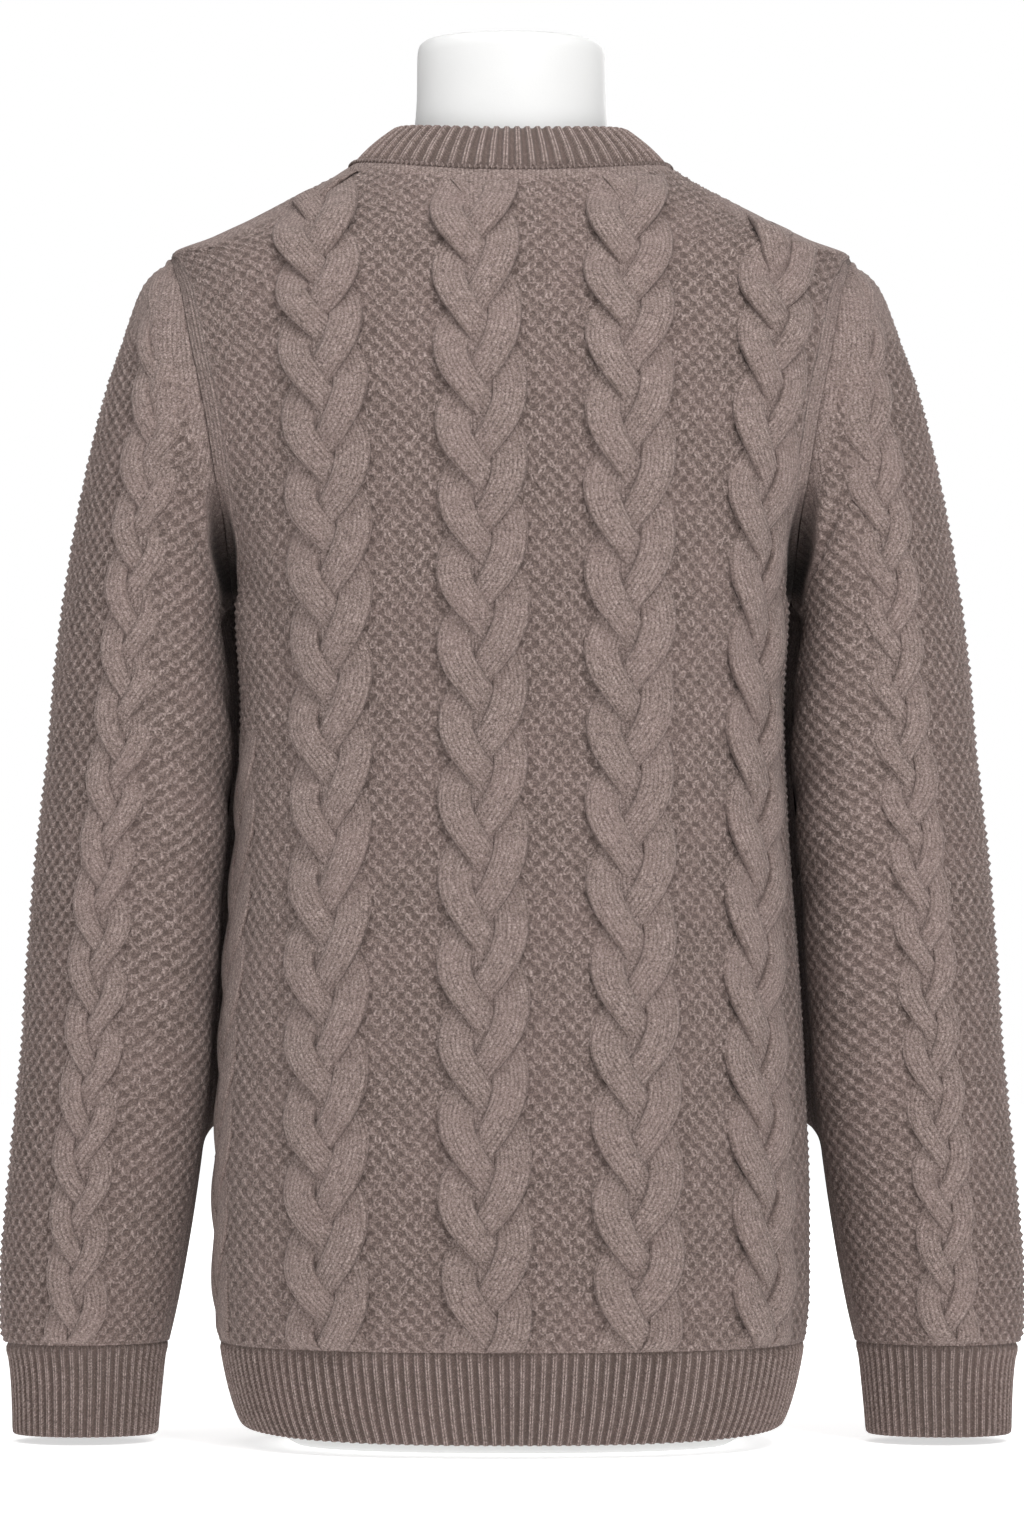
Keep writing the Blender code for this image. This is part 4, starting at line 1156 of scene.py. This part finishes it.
def neck_chain(name, material):
    """The row of chain stitches that joins the neckband to the panels: links that lie on the seam."""
    links = 208
    per_link, around = 6, 6
    samples = np.arange(links * per_link + 1) / (links * per_link)
    base, seam_normal = neckline_loop(samples)
    rise, _ = neckband_frame(base)
    phase = 2 * math.pi * samples * links
    link = np.floor(samples * links + 1e-6)
    side = 0.00055 * np.sin(phase) + 0.0003 * (random_of(link, 2, 9) - 0.5) - 0.0006
    lift = 0.0009 + 0.00055 * np.cos(phase)
    middle = base + side[:, None] * rise + lift[:, None] * seam_normal
    radius = 0.00100 - 0.00045 * np.cos(phase + 0.4)
    turn = 2 * math.pi * np.arange(around + 1) / around
    ring = np.cos(turn)[:, None, None] * rise * 1.2 + np.sin(turn)[:, None, None] * seam_normal
    uv = stacked(samples, (turn / (2 * math.pi))[:, None])
    # The third number, highest where a link is thickest, makes the rib material darker where the links pinch
    # together: painted shade.
    stitch = stacked(samples * links, uv[..., 1] * 2, 0.5 - 0.5 * np.cos(phase + 0.4))
    grid = Grid(middle + radius[:, None] * ring, ring, uv, stitch, np.ones(uv.shape[:2]))
    return finish_grids(name, [grid], material)


# ---------------------------------------------------------------- wool and form materials


def arithmetic(operation, swapped=False):
    """A method that adds a Math node for one of Python's operators."""

    def method(self, other):
        first, second = (other, self) if swapped else (self, other)
        return self.graph.math(operation, first, second)

    return method


class Value:
    """One output of a material's nodes. Arithmetic on it adds Math nodes."""

    def __init__(self, graph, socket):
        self.graph, self.socket = graph, socket

    __add__, __radd__ = arithmetic("ADD"), arithmetic("ADD", swapped=True)
    __sub__, __rsub__ = arithmetic("SUBTRACT"), arithmetic("SUBTRACT", swapped=True)
    __mul__, __rmul__ = arithmetic("MULTIPLY"), arithmetic("MULTIPLY", swapped=True)
    __pow__ = arithmetic("POWER")

    def __abs__(self):
        return self.graph.math("ABSOLUTE", self)


class Graph:
    """Short names for the nodes of one material."""

    def __init__(self, name):
        self.material = bpy.data.materials.new(name)
        self.material.use_nodes = True
        self.tree = self.material.node_tree

    def fill(self, node, inputs):
        for key, value in inputs.items():
            if isinstance(value, Value):
                self.tree.links.new(value.socket, node.inputs[key])
            else:
                node.inputs[key].default_value = value
        return node

    def shade(self, inputs):
        self.fill(self.tree.nodes["Principled BSDF"], inputs)
        return self.material

    def made(self, kind, inputs, **settings):
        node = self.tree.nodes.new("ShaderNode" + kind)
        for key, value in settings.items():
            setattr(node, key, value)
        return self.fill(node, inputs)

    def node(self, kind, inputs, output=0, **settings):
        return Value(self, self.made(kind, inputs, **settings).outputs[output])

    def split(self, kind, value):
        """The three parts of a vector or a colour."""
        outputs = self.made(kind, {0: value}).outputs
        return [Value(self, outputs[k]) for k in range(3)]

    def math(self, operation, *values, clamp=False):
        inputs = dict(enumerate(values))
        return self.node("Math", inputs, operation=operation, use_clamp=clamp)

    def mix(self, share, first, second):
        """A mix of colours."""
        return self.node("Mix", {0: share, 6: first, 7: second}, 2, data_type="RGBA")

    def blend(self, share, first, second):
        """A mix of numbers."""
        return self.node("Mix", {0: share, 2: first, 3: second}, data_type="FLOAT")

    def ramp(self, value, stops, interpolation="EASE"):
        node = self.made("ValToRGB", {0: value})
        node.color_ramp.interpolation = interpolation
        elements = node.color_ramp.elements
        while len(elements) < len(stops):
            elements.new(0.5)
        for element, (position, colour) in zip(elements, stops):
            element.position = position
            element.color = colour if isinstance(colour, tuple) else (colour, colour, colour, 1.0)
        return Value(self, node.outputs[0])

    def place(self):
        return self.node("TexCoord", {}, "Object")

    def attribute(self, name, output):
        return self.node("Attribute", {}, output, attribute_name=name)

    def noise(self, place, scale, detail, roughness, output=0):
        inputs = {"Vector": place, "Scale": scale, "Detail": detail, "Roughness": roughness}
        return self.node("TexNoise", inputs, output)

    def bump(self, strength, distance, height):
        return self.node("Bump", {"Strength": strength, "Distance": distance, "Height": height})


YARN_MIDDLE = (0.230, 0.174, 0.157, 1.0)
KNIT_COLOURS = ((0.100, 0.072, 0.063, 1.0), YARN_MIDDLE, (0.500, 0.408, 0.380, 1.0))
RIB_COLOURS = ((0.105, 0.076, 0.066, 1.0), YARN_MIDDLE, (0.520, 0.425, 0.395, 1.0))
WARM_YARN = (0.27, 0.185, 0.175, 1.0)
# painted shadow: the colour that the bottom of the underarm fold is darkened towards
PAINTED_FOLD_SHADOW = (0.012, 0.009, 0.008, 1.0)
GRAIN = {"ground": 1.3, "strand": 1.15, "rib": 1.05}  # how strongly fibres and tufts show


def wool(name, kind, colours, bump):
    """Heathered wool yarn. kind says what the stitch attribute counts: ground, strand or rib."""
    g = Graph(name)
    i, j, relief = g.split("SeparateXYZ", g.attribute("Stitch", "Vector"))
    where = g.place()
    fibre = g.noise(where, 1500.0, 2.0, 0.7)
    tuft = g.noise(where, 900.0, 1.0, 0.5)
    curl = g.split("SeparateColor", g.noise(where, 420.0, 2.0, 0.55, "Color"))
    fleck = curl[0]
    cloud = g.noise(where, 30.0, 3.0, 0.5)

    def shifted(value, *noises):
        """The value, moved to and fro by each (noise, amount)."""
        for noise, amount in noises:
            value = value + (noise - 0.5) * amount
        return value

    def plain_height(u, v):
        """Wales of V-shaped stitches, one to each whole number of u, one row to each of v."""
        u = shifted(u, (fleck, 0.62), (tuft, 0.25))
        off = abs(g.math("FRACT", u) - 0.5) * 2.0
        edge = off**3.0
        slant = shifted(v, (curl[1], 1.6)) + off * 0.75
        leg = g.math("SINE", slant * (2 * math.pi))
        drawn = g.node("CombineXYZ", {0: u * 1.4, 1: v * 0.28})
        streak = g.noise(drawn, 1.0, 2.0, 0.6)
        return shifted(0.62 - edge * 0.44, (streak, 0.95)) + leg * 0.13

    def from_stitch(offset):
        """Across and along, where a point is from the nearest stitch of the checkerboard, and three
        random numbers of that stitch's own."""
        p, q = (i + j) * 0.5 + (0.5 + offset), (i - j) * 0.5 + (0.5 + offset)
        fp, fq = g.math("FRACT", p) - 0.5, g.math("FRACT", q) - 0.5
        cell = g.node("CombineXYZ", {0: g.math("FLOOR", p), 1: g.math("FLOOR", q)})
        each = g.node("TexWhiteNoise", {"Vector": cell}, "Color", noise_dimensions="2D")
        return fp + fq, fp - fq, g.split("SeparateColor", each)

    def loops():
        """Yarn that shows as small upright loops on the raised stitches, some open at one end."""
        di, dj, each = from_stitch(0.0)
        di = shifted(di, (fleck, 0.55), (tuft, 0.25), (each[0], 0.25))
        dj = shifted(dj, (curl[1], 0.55), (each[1], 0.25))
        di = di + (each[2] - 0.5) * dj
        end = g.math("MAXIMUM", abs(dj) - (0.14 + each[1] * 0.22), 0.0)
        from_yarn = abs(g.math("SQRT", di * di + end * end) - (0.24 + each[2] * 0.08))
        yarn = g.ramp(from_yarn, ((0.0, 1.0), (0.07, 0.90), (0.13, 0.45), (0.21, 0.0)))
        way = g.math("GREATER_THAN", each[0], 0.45) * 2.0 - 1.0
        opening = g.ramp(dj * way, ((0.22, 1.0), (0.42, 0.30)))
        return yarn * (opening * (0.82 + each[1] * 0.35))

    def hollows():
        """The sunk stitches between: painted shade on the upper-right side of each, and a painted highlight
        along its lower-left rim.
        """
        di, dj, each = from_stitch(0.5)
        di = shifted(di, (fleck, 0.70), (tuft, 0.30), (each[0], 0.25))
        dj = shifted(dj, (curl[1], 0.70), (tuft, 0.30), (each[1], 0.25))
        away = g.math("SQRT", di * di + dj * dj)
        hollow_shade = g.ramp(away, ((0.0, 0.30), (0.20, 0.50), (0.36, 1.0), (0.58, 0.0)))
        # painted shade, kept to the upper-right side of each hollow
        hollow_shade = hollow_shade * g.ramp(dj - di, ((0.0, 0.22), (0.40, 1.0))) * (0.45 + each[2] * 0.85)
        # painted highlight along the lit, lower-left rim of each hollow
        rim = g.ramp(abs(away - 0.60), ((0.0, 1.0), (0.10, 0.70), (0.24, 0.0)))
        return hollow_shade, rim * g.ramp(di - dj, ((0.0, 0.12), (0.55, 1.0)))

    if kind == "ground":
        raised = loops()
        hollow_shade, rim = hollows()
        loop = g.math("MAXIMUM", raised, rim * 0.72)
        wales = plain_height(i * (CELL / WALE), j * (CELL / COURSE))
        plain = g.attribute("Plain", "Fac")
        # above 1, the attribute carries the painted shadow of the underarm fold
        deep = g.math("SUBTRACT", plain, 1.0, clamp=True)
        plain = g.math("MINIMUM", plain, 1.0)
        height = g.blend(plain, 0.45 + loop * 0.50 - hollow_shade * 0.60, wales)
        # Painted shade and highlight: sunk stitches darker, one side of each hollow shaded and the other rim
        # lit, and plain knitting darker in its grooves; the yarn loops are lighter.
        bright = 0.12 + loop * 0.35 + relief * 0.09 - hollow_shade * 0.17
        shade = g.blend(plain, bright, 0.15 + wales * 0.50)
    elif kind == "strand":
        height = plain_height(i, j)
        # painted shade: darker in the grooves between wales and towards the strand's rolled-under edges
        shade = height * 0.58 - 0.07 + relief**0.7 * 0.16
    else:
        from_line = abs(g.math("FRACT", shifted(i, (fleck, 0.05))) - 0.5)
        rising = shifted(j, (curl[1], 0.9), (tuft, 0.4)) + from_line * 3.0
        stitch = g.math("SINE", rising * (2 * math.pi))
        # Painted shade in the crease down each rib's middle and in the channels between ribs, and a painted
        # highlight along the crest of each leg.
        line = g.ramp(from_line, ((0.0, 1.0), (0.045, 0.45), (0.075, 0.0)))
        painted_crest_highlight = g.ramp(from_line, ((0.055, 0.0), (0.105, 1.0), (0.15, 0.9), (0.21, 0.0)))
        legs = relief**1.6 - line * 0.55 + painted_crest_highlight * 0.25
        legs = legs * (0.55 + curl[2] * 0.9)
        height = legs + stitch * 0.10
        shade = -0.02 + legs * 0.50 + stitch * 0.10
    pit = g.ramp(tuft, ((0.26, 0.30), (0.36, 0.0)))
    grain = (fibre - 0.5 + (tuft - 0.5) * 0.7 - pit) * GRAIN[kind]
    tone = g.math("ADD", shade, grain + (fleck - 0.5) * 0.5, clamp=True)
    colour = g.ramp(tone, tuple(zip((0.0, 0.45, 1.0), colours)), "LINEAR")
    warmth = g.math("MULTIPLY", cloud - 0.40, 1.4, clamp=True)
    colour = g.mix(warmth, colour, g.mix(0.30, colour, WARM_YARN))
    # painted shadow at the bottom of the underarm fold
    if kind == "ground":
        colour = g.mix(deep * 0.94, colour, PAINTED_FOLD_SHADOW)
    finish = {
        "Base Color": colour, "Roughness": 0.80 + fibre * 0.18,
        "Normal": g.bump(bump, 0.0006, height + fibre * 0.6), "Specular IOR Level": 0.22,
        "Sheen Weight": 0.10, "Sheen Roughness": 0.55, "Sheen Tint": (0.86, 0.80, 0.77, 1.0),
    }
    return g.shade(finish)


def white_shell():
    """Matt white shell of the dress form, with the faint unevenness of a sprayed finish."""
    g = Graph("white_form_shell")
    where = g.place()
    grain = g.noise(where, 900.0, 3.0, 0.6)
    cloud = g.noise(where, 14.0, 3.0, 0.5)
    colour = g.ramp(cloud, ((0.3, (0.68, 0.68, 0.675, 1.0)), (0.7, (0.72, 0.72, 0.715, 1.0))), "LINEAR")
    normal = g.bump(0.12, 0.0004, grain)
    return g.shade({"Base Color": colour, "Roughness": 0.38 + cloud * 0.16, "Normal": normal})


# ---------------------------------------------------------------- build


def dress_form(name, material):
    """The form as in the CAD part: sections stacked on a flat base, with a flat cap on the neck."""
    columns = curves(FORM)
    foot, rim, top = FORM[2][0], FORM[-3][0], FORM[-1][0]
    heights = [np.linspace(0.0, foot, 6), np.linspace(foot, rim, 160)[1:], np.linspace(rim, top, 9)[1:]]
    caps = (0.0, 0.5, 0.985)
    levels = [(0.0, share) for share in caps]
    levels += [(height, 1.0) for height in np.concatenate(heights)]
    levels += [(top, share) for share in caps[::-1]]
    angle = 2 * math.pi * np.arange(FORM_COLUMNS + 1) / FORM_COLUMNS
    s, c = np.sin(angle), np.cos(angle)
    rows = []
    for height, share in levels:
        half_width, back, front, forward, roundness = (float(curve(height)) for curve in columns)
        x = half_width * share * np.sign(s) * np.abs(s) ** (2 / roundness)
        y = np.where(c > 0, back, front) * share * np.sign(c) * np.abs(c) ** (2 / roundness) - forward
        rows.append(stacked(x, y, height))
    points = np.array(rows)
    outward = np.broadcast_to(stacked(s, c, 0.0), points.shape)
    uv = stacked(angle / (2 * math.pi), np.linspace(0.0, 1.0, len(levels))[:, None])
    made = finish_grids(name, [Grid(points, outward, uv, 0 * points, np.zeros(uv.shape[:2]))], material)
    joined = bmesh.new()
    joined.from_mesh(made.data)
    bmesh.ops.remove_doubles(joined, verts=joined.verts, dist=1e-6)
    joined.to_mesh(made.data)
    joined.free()
    return made


def line_on_back(back, line):
    """A cable's centre line, from pixels of the image to arcs on the back by height."""
    stations, arcs = [], []
    for row, column in line[::-1]:
        depth = 0.1
        for _ in range(4):
            x, z = from_image(row, column, depth)
            z = min(z, NECK_POINT_Z - 0.002)
            reach, deep, power = section(np.array([z]), "back")
            depth = float(deep[0] * max(0.0, 1 - (abs(x) / reach[0]) ** power[0]) ** (1 / power[0]))
        along = np.linspace(0.0, float(back.reach_at(z, 1)), 400)
        xs = back.at(along, np.full(400, z))[0][:, 0]
        stations.append(z)
        arcs.append(math.copysign(float(np.interp(abs(x), xs, along)), x))
    return smooth_curve(stations, arcs)


def rows_to_heights(back, rows, line):
    """Image rows of a cable's strand ends as heights on the back."""
    out = []
    for row in rows:
        depth = 0.1
        for _ in range(4):
            _, z = from_image(row, MIDDLE_COLUMN, depth)
            z = min(z, NECK_POINT_Z - 0.001)
            depth = float(back.at(line(z), np.array(z))[0][1])
        out.append(z)
    return np.array(out)


def panel_margin(points):
    """How far a panel's cables end below the neckline and beside the shoulder seam."""
    return np.where(np.abs(points[..., 0]) < NECK_HALF_WIDTH, NECK_BAND * 0.9, SHOULDER_BAND * 1.2)


def cable_plans(back):
    """For each panel's cables: centre line, heights of the strand ends, and top height if it ends low."""
    plans = {side: [] for side in SIDES}
    for line, rows in BACK_CABLES:
        centre = line_on_back(back, line)
        plans["back"].append((centre, rows_to_heights(back, rows, centre), None))
    side_rows = np.arange(0.66, 0.02, -CABLE_PITCH)
    side_line = lambda height: back.reach_at(height, 1) - SIDE_CABLE_FROM_SEAM
    plans["back"].append((side_line, side_rows, SIDE_CABLE_TOP))
    for k, arc in enumerate(FRONT_CABLES):
        rows = np.arange(0.672 - 0.006 * k, 0.02, -CABLE_PITCH)
        plans["front"].append((lambda height, arc=arc: arc + 0 * height, rows, None))
    return plans


def build():
    ground = wool("cable_knit_wool", "ground", KNIT_COLOURS, 1.0)
    strand = wool("cable_knit_strand", "strand", KNIT_COLOURS, 0.8)
    rib = wool("ribbed_wool", "rib", RIB_COLOURS, 0.8)
    shell = white_shell()
    surfaces = {side: panel_surface(side) for side in SIDES}
    plans = cable_plans(surfaces["back"])
    pieces = {}

    def add(name, make, *arguments):
        pieces[name] = make(name, *arguments)

    for side, surface in surfaces.items():
        excess = panel_excess(surface, side)
        creases = PANEL_CREASES if side == "back" else ()
        grids = []
        for k, (centre, rows, top) in enumerate(plans[side]):
            grids += cable_grids(
                surface, centre, HEM_SEAM_Z + 0.0004, top or NECK_POINT_Z - 0.0005, rows, excess,
                panel_margin, SIDE_CABLE if top else BODY_CABLE, creases, k * 1.7,
            )
        add(f"{side}_cables", finish_grids, grids, strand)
        lines = [centre for centre, _, top in plans[side] if top is None]
        add(f"{side}_panel_cloth", panel_cloth, side, surface, lines, ground, 2)
        add(f"{side}_hem_rib_cloth", hem_rib, surface, rib)

    sleeve = sleeve_surface()
    cable = cable_grids(
        sleeve, lambda height: 0.0 * height, CUFF_SEAM_Z + 0.0010, SLEEVE_CABLE_TOP,
        np.arange(0.655, 0.02, -SLEEVE_CABLE_PITCH), sleeve_excess(sleeve),
        lambda points: 0.002 + 0 * points[..., 0], SLEEVE_CABLE, SLEEVE_CREASES, 0.6,
        taper=SLEEVE_CABLE_TAPER, step=0.0024,
    )
    add("left_sleeve_cable", finish_grids, cable, strand)
    add("left_sleeve_cloth", sleeve_cloth, sleeve, ground, 3)
    add("left_cuff_cloth", cuff, rib)
    for what in ("sleeve_cable", "sleeve_cloth", "cuff_cloth"):
        add(f"right_{what}", mirrored, pieces[f"left_{what}"])
    add("neckband_cloth", neckband, rib)
    add("neck_chain", neck_chain, rib)
    add("form_shell", dress_form, shell)
    return pieces


pieces = build()

# ---------------------------------------------------------------- CAD parts hidden, pieces attached to the root

for side in SIDES:
    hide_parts(f"{side}_panel")
    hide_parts(f"{side}_hem_rib")
for side in ("left", "right"):
    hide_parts(f"{side}_sleeve")
    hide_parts(f"{side}_cuff")
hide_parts("neckband")
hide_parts("dress_form")
for name, piece in pieces.items():
    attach(piece, "root")
    ribbed = "rib" in name or "cuff" in name or "neck" in name

# ---------------------------------------------------------------- stage, light, camera


def dome(name, radius, elevations, material, flattened=False):
    """Rings of a dome, drawn in to its middle, or the flat floor disc below one."""
    around = 64
    angle = 2 * math.pi * np.arange(around) / around
    vertices, faces = [], []
    for elevation in elevations:
        level = 0.0 if flattened else radius * math.sin(elevation)
        reach = radius * math.cos(elevation)
        vertices += stacked(reach * np.cos(angle), reach * np.sin(angle), level - 0.0006).tolist()
    for r in range(len(elevations) - 1):
        for k in range(around):
            after = (k + 1) % around
            faces.append((r * around + k, r * around + after, (r + 1) * around + after, (r + 1) * around + k))
    mesh = bpy.data.meshes.new(name)
    mesh.from_pydata(vertices, [], faces)
    mesh.shade_smooth()
    mesh.materials.append(material)
    return add_object(name, mesh)


def stage():
    white = (1.0, 1.0, 1.0, 1.0)
    nearly_up = math.pi / 2 - 1e-4
    g = Graph("stage_floor")
    away = g.node("VectorMath", {0: g.place()}, "Value", operation="LENGTH")
    glow = g.ramp(away * 0.125, ((0.10, 0.62), (0.45, 0.80)))
    floor_finish = g.shade(
        {
            "Base Color": (0.93, 0.93, 0.93, 1.0), "Roughness": 0.9, "Emission Color": white,
            "Emission Strength": glow,
        }
    )
    backdrop_finish = Graph("stage_backdrop").shade(
        {
            "Base Color": (0.0, 0.0, 0.0, 1.0), "Specular IOR Level": 0.0, "Emission Color": white,
            "Emission Strength": 1.0,
        }
    )
    floor = dome("stage_floor", 9.0, [0.0, 0.6, 1.2, 1.5, nearly_up], floor_finish, flattened=True)
    backdrop = dome("stage_backdrop", 9.2, np.linspace(-0.5, nearly_up, 20), backdrop_finish)
    backdrop.visible_diffuse = False
    backdrop.visible_glossy = False
    backdrop.visible_shadow = False


def softbox(name, place, aim, size, power):
    light = bpy.data.lights.new(name, "AREA")
    light.shape = "RECTANGLE"
    light.size, light.size_y = size
    light.energy = power
    obj = add_object(name, light)
    obj.location = place
    obj.rotation_mode = "QUATERNION"
    obj.rotation_quaternion = (Vector(aim) - Vector(place)).to_track_quat("-Z", "Y")
    obj.visible_camera = False


def lights():
    world = bpy.data.worlds.new("studio")
    world.use_nodes = True
    colour, strength = world.node_tree.nodes["Background"].inputs[:2]
    colour.default_value = (1.0, 1.0, 1.0, 1.0)
    strength.default_value = 0.27
    bpy.context.scene.world = world
    softbox("key_light", (-0.95, 2.0, 2.5), (0, 0, 0.38), (0.9, 0.9), 43)
    softbox("fill_light", (-0.6, 3.1, 0.8), (0, 0, 0.35), (1.8, 1.8), 14)
    softbox("top_light", (0.45, 0.6, 2.4), (0, 0, 0.45), (1.6, 1.2), 24)
    softbox("front_light", (-0.9, -2.7, 1.6), (0, 0, 0.38), (1.8, 1.8), 30)


def camera():
    data = bpy.data.cameras.new("camera")
    data.sensor_fit = "AUTO"
    data.sensor_width = 36.0
    data.lens = data.sensor_width * CAMERA_DISTANCE / (PICTURE_ROWS * PIXEL)
    data.clip_start, data.clip_end = 0.05, 60.0
    obj = add_object("camera", data)
    obj.location = (0.0, CAMERA_DISTANCE, CAMERA_Z)
    middle_z = CAMERA_Z + (HORIZON_ROW - PICTURE_ROWS / 2) * PIXEL
    obj.rotation_mode = "QUATERNION"
    obj.rotation_quaternion = (Vector((0, 0, middle_z)) - obj.location).to_track_quat("-Z", "Y")
    bpy.context.scene.camera = obj


stage()
lights()
camera()
bpy.context.scene.view_settings.view_transform = "Standard"
bpy.context.view_layer.update()
